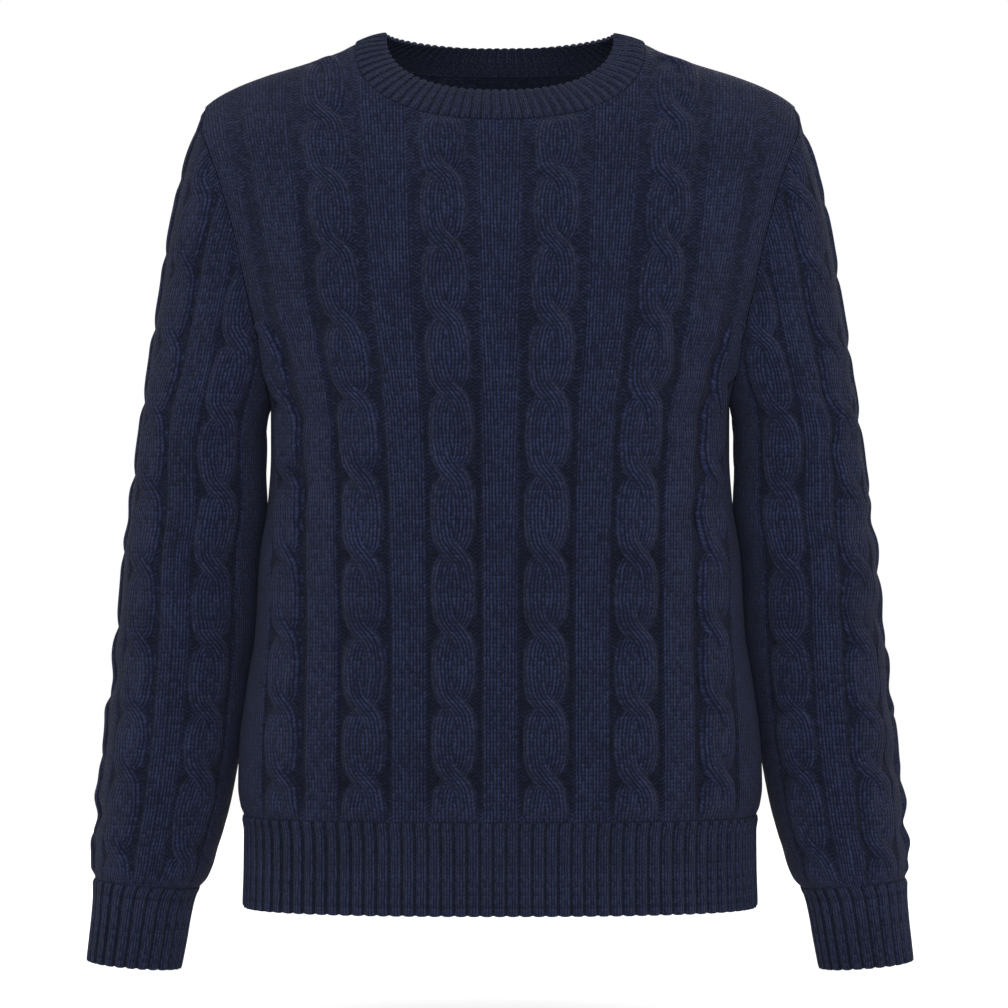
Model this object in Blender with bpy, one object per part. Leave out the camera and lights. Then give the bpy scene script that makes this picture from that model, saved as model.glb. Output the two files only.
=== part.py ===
"""A crew-neck cable knit sweater, hollow and filled out as if worn, arms down.

+Z is up, the front faces -Y and the wearer's left arm is at +X.  The origin is
the middle of the neck opening, level with the two highest points of the neck
rib, where the wearer's neck and shoulders hold the sweater up.

Every wall is first laid out flat in knitting coordinates: `across` runs to the
right as one looks at the cloth from outside, `up` is the height above the
origin.  A surface function then bends it to its place round the body or arm.
All sizes are in millimetres until the mesh is made.
"""
import bisect
import math

import bmesh
import bpy
from mathutils import Vector
from mathutils.geometry import delaunay_2d_cdt

MM = 0.001

# The cloth
WALL = 2.6                 # thickness of the plain knitting
RIB_WALL = 2.8             # thickness of the ribs at their grooves
SEAM_GAP = 0.3             # room between neighbouring pieces
UNDERARM_ROOM = 0.5        # room between body and sleeve at the armhole seam
NECK_SEAM_ROOM = 0.45      # the same at the neck, whose seam curves most

# The cables: two strands of five stitches each, crossing the same way everywhere
CABLE_PITCH = 68.6         # centre to centre on the body
CABLE_PERIOD = 57.3        # crossing to crossing on the body
BODY_CROSSING = -572.0     # height of the lowest crossing on the body
SLEEVE_PITCH = 57.5
SLEEVE_PERIOD = 56.1
SLEEVE_CROSSING = -630.6
STRAND_OFFSET = 8.5        # a strand's centre, from the cable's centre
CABLE_EDGE = 17.5
CABLE_WAIST = 14.5         # the same edge at a crossing
GUTTER_EDGE = 21.5         # outer edge of the sunk line beside a cable
CABLE_RISE = 5.0
GUTTER_SINK = 1.1
RELIEF_FADE = 9.0          # the relief dies out over this distance to a seam

# Heights
SEAM_HEM = -602.0
HEM = -672.0
UNDERARM = -288.0
SHOULDER = -57.0
NECK_SIDE = -9.5
EDGE_CABLE_TOP = -225.0    # the armhole's narrowing ends the outermost cables here

# The body, one row for each height: half the width as far as the side or armhole
# seam, how far front and back stand before and behind the side seam, and how much
# the knitting is spread sideways there.
BODY_COLUMNS = ("height", "half_width", "front", "back", "spread")
BODY_SECTIONS = (
    (0.0, 226.0, 60.0, 66.0, 1.310),
    (-28.0, 226.0, 70.5, 77.0, 1.310),
    (-57.0, 226.0, 79.5, 90.0, 1.305),
    (-75.0, 228.5, 84.0, 98.0, 1.290),
    (-95.0, 221.8, 90.0, 106.0, 1.275),
    (-115.0, 214.0, 96.0, 113.0, 1.260),
    (-135.0, 208.0, 102.0, 117.0, 1.245),
    (-165.0, 200.0, 110.5, 121.0, 1.220),
    (-198.0, 193.0, 117.0, 122.0, 1.190),
    (-222.0, 187.5, 120.0, 121.0, 1.165),
    (-248.0, 182.0, 121.5, 119.0, 1.130),
    (-272.0, 178.3, 122.0, 116.0, 1.095),
    (-288.0, 176.3, 122.0, 113.5, 1.070),
    (-325.0, 176.2, 121.0, 108.0, 1.040),
    (-365.0, 178.8, 119.0, 104.0, 1.020),
    (-405.0, 185.0, 116.0, 102.0, 1.010),
    (-460.0, 188.2, 113.0, 101.0, 1.000),
    (-500.0, 194.3, 112.0, 101.0, 1.000),
    (-550.0, 200.6, 112.0, 103.0, 1.000),
    (-580.0, 201.5, 112.0, 103.0, 1.000),
    (-595.0, 199.5, 109.5, 101.0, 1.000),
    (-602.0, 196.8, 107.5, 99.0, 1.000),
    (-615.0, 194.8, 105.0, 97.5, 1.000),
    (-640.0, 195.0, 104.0, 97.0, 1.000),
    (-672.0, 196.0, 104.0, 97.0, 1.000),
)
BODY_SQUARENESS = 2.5      # 2 is an ellipse, more is boxier

# The shoulder ridge from the middle outwards: its height at each width
RIDGE_COLUMNS = ("half_width", "height")
SHOULDER_RIDGE = (
    (0.0, 12.0), (60.0, 8.0), (88.0, 0.0), (111.5, -9.5), (123.5, -15.5), (151.0, -25.0),
    (181.0, -34.3), (206.0, -44.3), (226.0, -57.0), (234.0, -70.0),
)
RIDGE_BASE = -150.0        # below this the shoulder's rounding has ended
RIDGE_ROUNDNESS = 2.3
STRAIGHT_ABOVE = -75.0     # above this the stitch columns keep their distance from the middle
CURVED_BELOW = -130.0      # below this they are counted round the curve of the body

# The armhole: how far its seam stands before and behind the side seam
ARMHOLE_DEPTH = 60.0
ARMHOLE_WIDEST = -198.0
ARMHOLE_UPPER_REACH = 150.0

# The neck: seam and upper edge of its rib
NECK_SEAM_HALF = 111.5
NECK_SEAM_FRONT_DROP = 63.5
NECK_SEAM_BACK_DROP = 18.5
NECK_EDGE_HALF = 88.0
NECK_EDGE_FRONT = (-62.0, -49.0)     # (y, fall below the sides) of the front's middle
NECK_EDGE_BACK = (57.0, -7.0)
NECK_EDGE_SIDE = -1.4
NECK_ROUNDNESS = 2.4

# A sleeve, one row for each height: its outer and inner side, half its depth, how far
# its middle lies behind the body's, and how far its centre stitch has turned backwards.
SLEEVE_COLUMNS = ("height", "outer", "inner", "half_depth", "behind", "turned")
SLEEVE_SECTIONS = (
    (-57.0, 226.5, 177.0, 61.0, 0.0, 0.0),
    (-66.0, 226.8, 177.0, 61.0, 0.0, 1.0),
    (-75.0, 229.5, 177.0, 61.0, 0.0, 2.0),
    (-87.0, 235.2, 177.0, 61.0, 0.0, 3.0),
    (-98.6, 239.5, 177.0, 61.0, 0.0, 4.0),
    (-121.7, 245.4, 177.0, 61.0, 0.0, 6.0),
    (-144.8, 250.8, 177.0, 61.0, 0.0, 8.0),
    (-168.0, 255.2, 177.0, 61.0, 0.0, 10.0),
    (-198.0, 259.6, 177.0, 60.8, 0.0, 12.0),
    (-237.0, 266.4, 177.0, 59.5, 0.0, 15.0),
    (-260.0, 269.6, 177.0, 58.0, 0.0, 16.0),
    (-288.0, 273.8, 176.8, 56.5, 0.0, 17.0),
    (-300.0, 275.6, 179.0, 56.0, 1.0, 17.0),
    (-314.0, 277.6, 180.4, 55.0, 3.0, 17.0),
    (-340.0, 281.2, 180.4, 54.0, 8.0, 16.0),
    (-365.0, 284.6, 179.6, 54.0, 13.0, 15.0),
    (-405.0, 290.0, 185.4, 54.0, 20.0, 14.0),
    (-460.0, 295.0, 187.9, 55.0, 26.0, 12.0),
    (-500.0, 299.5, 193.6, 56.0, 28.0, 9.0),
    (-550.0, 305.0, 200.6, 57.5, 26.0, 6.5),
    (-572.0, 307.5, 204.3, 58.0, 24.0, 6.0),
    (-595.0, 310.0, 208.8, 57.5, 22.0, 5.5),
    (-618.0, 311.8, 214.8, 56.0, 20.0, 5.0),
    (-630.0, 312.8, 218.7, 54.0, 19.0, 5.0),
    (-641.0, 313.2, 221.6, 51.0, 18.0, 5.0),
    (-653.0, 312.8, 226.8, 46.0, 17.0, 5.0),
    (-664.0, 312.6, 236.4, 42.0, 16.0, 5.0),
    (-680.0, 313.6, 240.6, 39.5, 15.0, 5.0),
    (-700.0, 315.6, 244.0, 38.5, 13.0, 5.0),
    (-726.0, 318.4, 249.0, 38.0, 11.0, 5.0),
)
SLEEVE_SQUARENESS = 2.2
SLEEVE_HALF_ROUND = 165.0  # half of its stitches, as a width
SLEEVE_CABLES = (-2, -1, 0, 1, 2)
CUFF_SEAM = -655.8         # height of the cuff's seam at the sleeve's middle
CUFF_END = -719.0
CUFF_TILT = 0.088          # the inner side is this much lower for each mm inwards
SLEEVE_MIDDLE = 271.0      # where the cuff's two heights hold

# The ribs
HEM_RIBS_A_PANEL = 54
CUFF_RIBS = 26
NECK_RIBS = 80
RIB_RISE = 1.9
NECK_RIB_RISE = 1.4
SIDES = ("right", "left")


def smooth_curve(pairs):
    """A smooth curve through (place, value) pairs that never overshoots them."""
    pairs = sorted(pairs)
    places = [place for place, _ in pairs]
    values = [value for _, value in pairs]
    rises = [(values[i + 1] - values[i]) / (places[i + 1] - places[i])
             for i in range(len(pairs) - 1)]
    slopes = [rises[0]]
    for before, after in zip(rises, rises[1:]):
        slopes.append(0.0 if before * after <= 0 else 2 * before * after / (before + after))
    slopes.append(rises[-1])

    def value_at(place):
        place = min(max(place, places[0]), places[-1])
        i = min(max(bisect.bisect_right(places, place) - 1, 0), len(rises) - 1)
        step = places[i + 1] - places[i]
        t = (place - places[i]) / step
        return ((2 * t ** 3 - 3 * t ** 2 + 1) * values[i] + (t ** 3 - 2 * t ** 2 + t) * step * slopes[i]
                + (3 * t ** 2 - 2 * t ** 3) * values[i + 1] + (t ** 3 - t ** 2) * step * slopes[i + 1])

    return value_at


def table_curves(columns, rows):
    """One smooth curve for each named column, over the table's first column."""
    return {name: smooth_curve([(row[0], row[i]) for row in rows])
            for i, name in enumerate(columns) if i}


def eased(t):
    t = min(max(t, 0.0), 1.0)
    return t * t * (3 - 2 * t)


BODY = table_curves(BODY_COLUMNS, BODY_SECTIONS)
RIDGE = table_curves(RIDGE_COLUMNS, SHOULDER_RIDGE)["height"]
SLEEVE = table_curves(SLEEVE_COLUMNS, SLEEVE_SECTIONS)


def armhole_depth(height):
    """How far the armhole seam stands before and behind the side seam."""
    if height <= UNDERARM:
        return 0.0
    reach = ARMHOLE_WIDEST - UNDERARM if height < ARMHOLE_WIDEST else ARMHOLE_UPPER_REACH
    return ARMHOLE_DEPTH * math.sqrt(max(0.0, 1 - ((height - ARMHOLE_WIDEST) / reach) ** 2))


def body_girth(height, face):
    """Half width and depth of the closed curve that the body follows at a height."""
    deep = BODY[face](height)
    wide = BODY["half_width"](height)
    seam = min(armhole_depth(height) / deep, 0.95)
    return wide / (1 - seam ** BODY_SQUARENESS) ** (1 / BODY_SQUARENESS), deep


def shoulder_rounding(half_width, height):
    """1 on the body, falling to 0 on the shoulder ridge."""
    if height <= RIDGE_BASE:
        return 1.0
    part = (height - RIDGE_BASE) / (RIDGE(half_width) - RIDGE_BASE)
    return max(0.0, 1 - min(part, 1.0) ** RIDGE_ROUNDNESS) ** (1 / RIDGE_ROUNDNESS)


BODY_STEPS = 150
_slices = {}


def body_slice(height, face):
    """Points (knitting distance from the middle, x, depth) across half the body at a height."""
    key = (round(height, 3), face)
    if key not in _slices:
        wide, deep = body_girth(height, face)
        spread = BODY["spread"](height)
        curved = eased((STRAIGHT_ABOVE - height) / (STRAIGHT_ABOVE - CURVED_BELOW))
        power = 2 / BODY_SQUARENESS
        points, round_way, last = [], 0.0, None
        for i in range(BODY_STEPS + 1):
            # the samples crowd towards both ends, where the curve is hardest
            t = i / BODY_STEPS
            angle = math.pi / 2 * (t - 0.7 * math.sin(2 * math.pi * t) / (2 * math.pi))
            x = wide * math.sin(angle) ** power
            y = deep * max(math.cos(angle), 0.0) ** power
            rounded = y * shoulder_rounding(x, height)
            if last:
                round_way += math.hypot(x - last[0], rounded - last[1])
            points.append(((curved * round_way + (1 - curved) * x) / spread, x, y))
            last = (x, rounded)
        _slices[key] = points
    return _slices[key]


def along_points(points, distance, column):
    """Read a column at a distance along points whose first column grows."""
    i = min(max(bisect.bisect_right(points, (distance,)) - 1, 0), len(points) - 2)
    a, b = points[i], points[i + 1]
    t = 0.0 if b[0] == a[0] else (distance - a[0]) / (b[0] - a[0])
    return a[column] + (b[column] - a[column]) * t


def body_edge(height, face):
    """Knitting distance from the middle to the side or armhole seam at a height."""
    points = body_slice(height, face)
    if height <= UNDERARM:
        return points[-1][0]
    wide = BODY["half_width"](height)
    by_width = [(x, distance) for distance, x, _ in points]
    return along_points(by_width, wide, 1)


def body_place(across, height, face):
    """The point of the front or back with these knitting coordinates, right half."""
    points = body_slice(height, face)
    x = along_points(points, across, 1)
    y = max(along_points(points, across, 2) * shoulder_rounding(x, height), SEAM_GAP / 2)
    return Vector((x, -y if face == "front" else y, height))


def body_surface(face):
    """Place and outward direction on the front or back for coordinates seen from outside."""
    probe = 0.8

    def surface(across, up):
        side = 1 if across >= 0 else -1
        outwards = abs(across)
        here = body_place(outwards, up, face)
        inner = body_place(max(outwards - probe, 0.0), up, face) if outwards > probe else \
            Vector((-body_place(probe, up, face).x, here.y, up))
        normal = (here - inner).cross(Vector(here - body_place(outwards, up - probe, face)))
        if face == "back":
            normal = -normal
        if abs(here.y) < SEAM_GAP:
            normal.y = 0.0
        normal.normalize()
        if (side < 0) == (face == "front"):
            here.x, normal.x = -here.x, -normal.x
        return here, normal

    return surface


def neck_seam_drop(half_width, face):
    """Height of the neck seam at a distance from the middle."""
    drop = NECK_SEAM_FRONT_DROP if face == "front" else NECK_SEAM_BACK_DROP
    part = min(half_width / NECK_SEAM_HALF, 1.0)
    return NECK_SIDE - drop * (1 - part ** NECK_ROUNDNESS) ** (1 / NECK_ROUNDNESS)


def across_of_width(x, height, face):
    points = body_slice(height, face)
    return along_points([(px, distance) for distance, px, _ in points], x, 1)


def steps(first, last, count):
    return [first + (last - first) * i / count for i in range(count + 1)]


ARMHOLE_HEIGHTS = [UNDERARM + (SHOULDER - UNDERARM) * (1 - math.cos(math.pi * i / 16)) / 2
                   for i in range(17)]
NECK_PANEL_POINTS = 20     # points of the neck seam on each half of a panel


def neck_seam_widths():
    """Widths along half the neck seam, from the shoulder to the middle."""
    widths = []
    for i in range(NECK_PANEL_POINTS + 1):
        turn = math.pi / 2 * i / NECK_PANEL_POINTS
        widths.append(NECK_SEAM_HALF * max(math.cos(turn), 0.0) ** (2 / NECK_ROUNDNESS))
    return widths


def half_panel_outline(face):
    """The outline of the panel's half, from the hem's middle to the neck's middle."""
    half_gap = SEAM_GAP / 2
    hem = SEAM_HEM + half_gap
    outline = [(part * body_edge(hem, face), hem) for part in steps(0.0, 1.0, 22)]
    for height in steps(SEAM_HEM, UNDERARM, 9)[1:-1]:
        outline.append((body_edge(height, face), height))
    for height in ARMHOLE_HEIGHTS:
        outline.append((body_edge(height, face), height))
    for x in steps(BODY["half_width"](SHOULDER), NECK_SEAM_HALF, 9)[1:]:
        outline.append((across_of_width(x, RIDGE(x), face), RIDGE(x)))
    for x in neck_seam_widths()[1:]:
        height = neck_seam_drop(x, face) - half_gap
        outline.append((across_of_width(x, height, face) if x > 0 else 0.0, height))
    return outline


def whole_outline(half):
    """Mirror a half outline, whose first and last points lie on the middle line."""
    return half + [(-across, up) for across, up in reversed(half[1:-1])]


def strand_heights(offset, along):
    """Rise of the cable, 0 to 1, at an offset from its centre and a place along its period.

    The strand that comes down from the left passes in front to the right."""
    place = along - round(along)
    shift = STRAND_OFFSET * math.sin(math.pi / 2 * min(max(place / 0.32, -1.0), 1.0))
    behind = 0.55 + 0.45 * eased(abs(place) / 0.42)
    front = math.sqrt(max(0.0, 1 - ((offset + shift) / 9.6) ** 2))
    back = math.sqrt(max(0.0, 1 - ((offset - shift) / 9.6) ** 2))
    return max(front, behind * back)


# One period of a cable: (offset from the centre, place along the period), from the
# crossing upwards.  The first three rows hold the strand in front.
CABLE_POINTS = (
    (0.0, 0.0), (-9.5, 0.0), (9.5, 0.0),
    (-8.2, 0.25), (0.0, 0.25), (8.2, 0.25),
    (-8.75, 0.5), (0.0, 0.5), (8.75, 0.5),
    (8.2, 0.75), (0.0, 0.75), (-8.2, 0.75),
)


def distance_to_outline(point, outline):
    nearest = 1e9
    for i, start in enumerate(outline):
        end = outline[i - 1]
        run = (end[0] - start[0], end[1] - start[1])
        size = run[0] ** 2 + run[1] ** 2
        t = 0.0 if size == 0 else ((point[0] - start[0]) * run[0] + (point[1] - start[1]) * run[1]) / size
        t = min(max(t, 0.0), 1.0)
        nearest = min(nearest, math.hypot(point[0] - start[0] - t * run[0],
                                          point[1] - start[1] - t * run[1]))
    return nearest


def is_inside(point, outline):
    within = False
    for i, a in enumerate(outline):
        b = outline[i - 1]
        if (a[1] > point[1]) != (b[1] > point[1]):
            if point[0] < a[0] + (b[0] - a[0]) * (point[1] - a[1]) / (b[1] - a[1]):
                within = not within
    return within


def cable_details(outline, cables, crossing, period):
    """The raised points of all the cables and the sunk lines beside them.

    `cables` holds (centre, top of the cable, top of its left and right gutter)."""
    details, ridges = [], []
    bottom = min(up for _, up in outline)
    for centre, top, left_top, right_top in cables:
        first = math.floor((bottom - crossing) / period)
        highest = max(top, left_top, right_top)
        names = {}
        for row in range(first, math.ceil((highest - crossing) / period) + 1):
            base = crossing + row * period
            for offset, place in CABLE_POINTS:
                up = base + place * period
                if up < top:
                    names[(row, offset, place)] = len(details)
                    details.append((centre + offset, up, CABLE_RISE * strand_heights(offset, place)))
            for side, gutter_top in ((-1, left_top), (1, right_top)):
                for place in (0.0, 0.5):
                    up = base + place * period
                    edge = CABLE_WAIST if place == 0.0 and up < top else CABLE_EDGE
                    if up < gutter_top:
                        details.append((centre + side * edge, up, -GUTTER_SINK))
                up = base + 0.25 * period
                if up < gutter_top:
                    details.append((centre + side * GUTTER_EDGE, up, 0.0))
            for a, b in (((row, 0.0, 0.0), (row, -8.2, 0.25)), ((row - 1, 8.2, 0.75), (row, 0.0, 0.0))):
                if a in names and b in names:
                    ridges.append((names[a], names[b]))
    kept, places = [], {}
    for i, (across, up, rise) in enumerate(details):
        away = distance_to_outline((across, up), outline)
        if away > 2.5 and is_inside((across, up), outline):
            places[i] = len(kept)
            kept.append((across, up, rise * eased(away / RELIEF_FADE)))
    ridges = [(places[a], places[b]) for a, b in ridges if a in places and b in places]
    return kept, ridges


def lining_points(outline, pitch=46.0):
    """Sparse points of the plain inner face."""
    lowest = min(up for _, up in outline)
    highest = max(up for _, up in outline)
    widest = max(abs(across) for across, _ in outline)
    points = []
    for row in range(1, int((highest - lowest) / pitch) + 1):
        for column in range(-int(widest / pitch) - 1, int(widest / pitch) + 2):
            point = ((column + 0.5 * (row % 2)) * pitch, lowest + row * pitch)
            if is_inside(point, outline) and distance_to_outline(point, outline) > pitch * 0.3:
                points.append(point)
    return points


def triangulate(outline, points, ridges=()):
    """Triangles, counter-clockwise, over an outline with points inside it."""
    flat = [Vector(point[:2]) for point in list(outline) + list(points)]
    border = list(range(len(outline)))
    edges = [(len(outline) + a, len(outline) + b) for a, b in ridges]
    result = delaunay_2d_cdt(flat, edges, [border], 1, 1e-6)
    origin = result[3]
    return [tuple(origin[corner][0] for corner in face) for face in result[2]]


def knit_wall(name, outline, details, ridges, surface, rim_direction=None, cut=()):
    """A wall of knitting: raised points outside, a plain face inside, rims round the outline.

    `rim_direction` gives another direction for the rim at an outline point or None.
    `cut` holds the outline's edges that are sewn to each other and need no rim."""
    mesh = bmesh.new()
    outer, inner = [], []
    for i, (across, up) in enumerate(outline):
        place, normal = surface(across, up)
        direction = (rim_direction(i, place) if rim_direction else None) or normal
        outer.append(mesh.verts.new(place * MM))
        inner.append(mesh.verts.new((place - direction * WALL) * MM))
    border = len(outline)
    for across, up, rise in details:
        place, normal = surface(across, up)
        outer.append(mesh.verts.new((place + normal * rise) * MM))
    lining = lining_points(outline)
    for across, up in lining:
        place, normal = surface(across, up)
        inner.append(mesh.verts.new((place - normal * WALL) * MM))
    for corners in triangulate(outline, details, ridges):
        mesh.faces.new([outer[i] for i in corners])
    for corners in triangulate(outline, lining):
        mesh.faces.new([inner[i] for i in reversed(corners)])
    for i in range(border):
        after = (i + 1) % border
        if i not in cut:
            mesh.faces.new((outer[i], inner[i], inner[after], outer[after]))
    return finish(name, mesh, KNIT)


def finish(name, mesh, colour):
    """Join touching points, make the object and give it its own material."""
    bmesh.ops.remove_doubles(mesh, verts=mesh.verts, dist=0.02 * MM)
    bmesh.ops.triangulate(mesh, faces=mesh.faces)
    data = bpy.data.meshes.new(name)
    mesh.to_mesh(data)
    mesh.free()
    thing = bpy.data.objects.new(name, data)
    bpy.context.scene.collection.objects.link(thing)
    cloth = bpy.data.materials.new(name + "_knit")
    cloth.use_nodes = True
    shader = cloth.node_tree.nodes["Principled BSDF"]
    shader.inputs["Base Color"].default_value = (*colour, 1.0)
    shader.inputs["Roughness"].default_value = 0.9
    shader.inputs["Metallic"].default_value = 0.0
    data.materials.append(cloth)
    data.shade_smooth()
    data.set_sharp_from_angle(angle=math.radians(25))
    return thing


KNIT = (0.0075, 0.0115, 0.040)
RIB_KNIT = (0.0070, 0.0105, 0.037)


def level_rim(normal, tilt=0.0):
    """An outward direction laid into the plane of a hem or cuff seam."""
    seam_plane = Vector((-tilt, 0.0, 1.0)).normalized()
    return (normal - seam_plane * normal.dot(seam_plane)).normalized()


def body_panel(face):
    """The front or back: a panel from hem rib to shoulder with six cables."""
    outline = whole_outline(half_panel_outline(face))
    surface = body_surface(face)

    def rim_direction(i, place):
        return level_rim(surface(*outline[i])[1]) if outline[i][1] < SEAM_HEM + 1.0 else None

    top = 0.0
    cables = []
    for step in (-2.5, -1.5, -0.5, 0.5, 1.5, 2.5):
        ends = abs(step) > 2
        outer_top = EDGE_CABLE_TOP if ends else top
        left_top, right_top = (outer_top, top) if step < 0 else (top, outer_top)
        cables.append((step * CABLE_PITCH, outer_top, left_top, right_top))
    details, ridges = cable_details(outline, cables, BODY_CROSSING, CABLE_PERIOD)
    return knit_wall(face, outline, details, ridges, surface, rim_direction)


def seam_depth(height):
    """How far the armhole seam really stands before and behind the side seam."""
    return armhole_depth(height) * shoulder_rounding(BODY["half_width"](height), height)


SLEEVE_STEPS = 60
_rounds = {}


def sleeve_round(height):
    """Points (way from the outer side, x, depth) round half the sleeve at a height."""
    key = round(height, 3)
    if key in _rounds:
        return _rounds[key]
    outer, inner = SLEEVE["outer"](height), SLEEVE["inner"](height)
    half_depth, seam, middle = SLEEVE["half_depth"](height), 0.0, (outer + inner) / 2
    inner_reach = middle - inner
    power = 2 / SLEEVE_SQUARENESS
    if height > UNDERARM:
        seam = seam_depth(height)
        start = BODY["half_width"](height) + UNDERARM_ROOM
        if height >= ARMHOLE_WIDEST:
            half_depth, middle, inner_reach = seam, start, 0.0
        else:
            half_depth = max(half_depth, seam * 1.002)
            part = (ARMHOLE_WIDEST - height) / (ARMHOLE_WIDEST - UNDERARM)
            middle = start + (middle - start) * part ** 1.5
            cut = (1 - (seam / half_depth) ** SLEEVE_SQUARENESS) ** (1 / SLEEVE_SQUARENESS)
            inner_reach = (middle - start) / cut
    points = []
    for i in range(SLEEVE_STEPS + 1):
        angle = math.pi / 2 * i / SLEEVE_STEPS
        points.append((middle + (outer - middle) * math.cos(angle) ** power if i < SLEEVE_STEPS else middle,
                       half_depth * math.sin(angle) ** power))
    if inner_reach > 0:
        last = math.asin(min((seam / half_depth) ** (1 / power), 1.0)) if seam > 0 else 0.0
        for i in range(1, SLEEVE_STEPS + 1):
            angle = math.pi / 2 + (last - math.pi / 2) * i / SLEEVE_STEPS
            points.append((middle - inner_reach * math.cos(angle) ** power,
                           half_depth * math.sin(angle) ** power if angle > 0 else 0.0))
    way, last_point, measured = 0.0, points[0], []
    for x, y in points:
        way += math.hypot(x - last_point[0], y - last_point[1])
        measured.append((way, x, y))
        last_point = (x, y)
    _rounds[key] = measured
    return measured


def sleeve_spread(height):
    return sleeve_round(min(height, UNDERARM))[-1][0] / SLEEVE_HALF_ROUND


def sleeve_across(way, height):
    """Knitting coordinate of a way round the sleeve, + to the front, - to the back."""
    return (way + SLEEVE["turned"](height)) / sleeve_spread(height)


def sleeve_place(across, height):
    """The point of the wearer's left sleeve (+X); `across` grows towards its front."""
    points = sleeve_round(height)
    way = across * sleeve_spread(height) - SLEEVE["turned"](height)
    whole = points[-1][0]
    if height <= UNDERARM and abs(way) > whole:
        way -= math.copysign(2 * whole, way)
    x = along_points(points, min(abs(way), whole), 1)
    y = along_points(points, min(abs(way), whole), 2)
    return Vector((x, SLEEVE["behind"](height) - math.copysign(y, way), height))


def sleeve_surface(side):
    """Place and outward direction on a sleeve for coordinates seen from outside."""
    probe = 0.8
    turn = -1 if side == "left" else 1

    def surface(across, up):
        towards_front = turn * across
        here = sleeve_place(towards_front, up)
        way = towards_front * sleeve_spread(up) - SLEEVE["turned"](up)
        back_step = -math.copysign(probe, way)
        beside = sleeve_place(towards_front + back_step, up)
        below = sleeve_place(towards_front, up - probe)
        normal = (here - below).cross((here - beside) * math.copysign(1, way))
        if abs(way) > sleeve_round(up)[-1][0] - 0.05:
            # the inner side is sewn to itself, so both edges take the same direction
            below = sleeve_place(half_round_across(up - probe, 1), up - probe)
            normal = Vector((below.z - here.z, 0.0, here.x - below.x))
        normal.normalize()
        if turn < 0:
            return here, normal
        return Vector((-here.x, here.y, here.z)), Vector((-normal.x, normal.y, normal.z))

    return surface


def cuff_level(across, level):
    """Height at which the tilted plane through `level` cuts a stitch column of the sleeve."""
    height = level
    for _ in range(6):
        height = level + CUFF_TILT * (sleeve_place(across, height).x - SLEEVE_MIDDLE)
    return height


def inner_level(level):
    """Height at which the same plane meets the sleeve's inner side."""
    height = level
    for _ in range(6):
        height = level + CUFF_TILT * (SLEEVE["inner"](height) - SLEEVE_MIDDLE)
    return height


def half_round_across(height, end):
    """Knitting coordinate of the sleeve's inner side, on its front (1) or back (-1) end."""
    return sleeve_across(end * sleeve_round(height)[-1][0], height)


def sleeve_outline():
    """The sleeve laid out flat, front to the right: (outline, edges sewn to each other)."""
    bottom = CUFF_SEAM + SEAM_GAP / 2
    low = inner_level(bottom)
    back, front = half_round_across(low, -1), half_round_across(low, 1)
    outline = [(back, low)]
    for across in steps(back, front, 2 * CUFF_RIBS)[1:-1]:
        outline.append((across, cuff_level(across, bottom)))
    outline.append((front, low))
    seam_heights = steps(low, UNDERARM, 9)[1:-1]
    first_cut = len(outline) - 1
    outline += [(half_round_across(height, 1), height) for height in seam_heights]
    for height in ARMHOLE_HEIGHTS:
        outline.append((half_round_across(height, 1), height))
    cut = set(range(first_cut, first_cut + len(seam_heights) + 1))
    for height in reversed(ARMHOLE_HEIGHTS[:-1]):
        outline.append((half_round_across(height, -1), height))
    last_cut = len(outline) - 1
    outline += [(half_round_across(height, -1), height) for height in reversed(seam_heights)]
    cut |= set(range(last_cut, len(outline)))
    return outline, cut


def sleeve(side):
    """A sleeve: a tube from cuff to armhole with five cables and a seam under the arm."""
    outline, cut = sleeve_outline()
    count = len(outline)
    surface = sleeve_surface(side)
    heights = [up for _, up in outline]
    fronts = [across > sleeve_across(0.0, up) for across, up in outline]
    if side == "left":
        outline = [(-across, up) for across, up in reversed(outline)]
        cut = {(count - 2 - i) % count for i in cut}
        heights.reverse()
        fronts.reverse()

    def rim_direction(i, place):
        """The rim lies in the cuff's seam, and on the body's rim at the armhole's top."""
        if heights[i] < CUFF_SEAM + 10.0:
            return level_rim(surface(*outline[i])[1], CUFF_TILT * (1 if side == "left" else -1))
        share = eased((heights[i] + 130.0) / 50.0)
        if share == 0.0:
            return None
        face = "front" if fronts[i] else "back"
        _, body_normal = body_surface(face)(body_edge(heights[i], face), heights[i])
        body_normal.x = abs(body_normal.x) * (1 if side == "left" else -1)
        return surface(*outline[i])[1].lerp(body_normal, share).normalized()

    cables = [(step * SLEEVE_PITCH, 0.0, 0.0, 0.0) for step in SLEEVE_CABLES]
    details, ridges = cable_details(outline, cables, SLEEVE_CROSSING, SLEEVE_PERIOD)
    return knit_wall("sleeve_" + side, outline, details, ridges, surface, rim_direction, cut)


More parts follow.
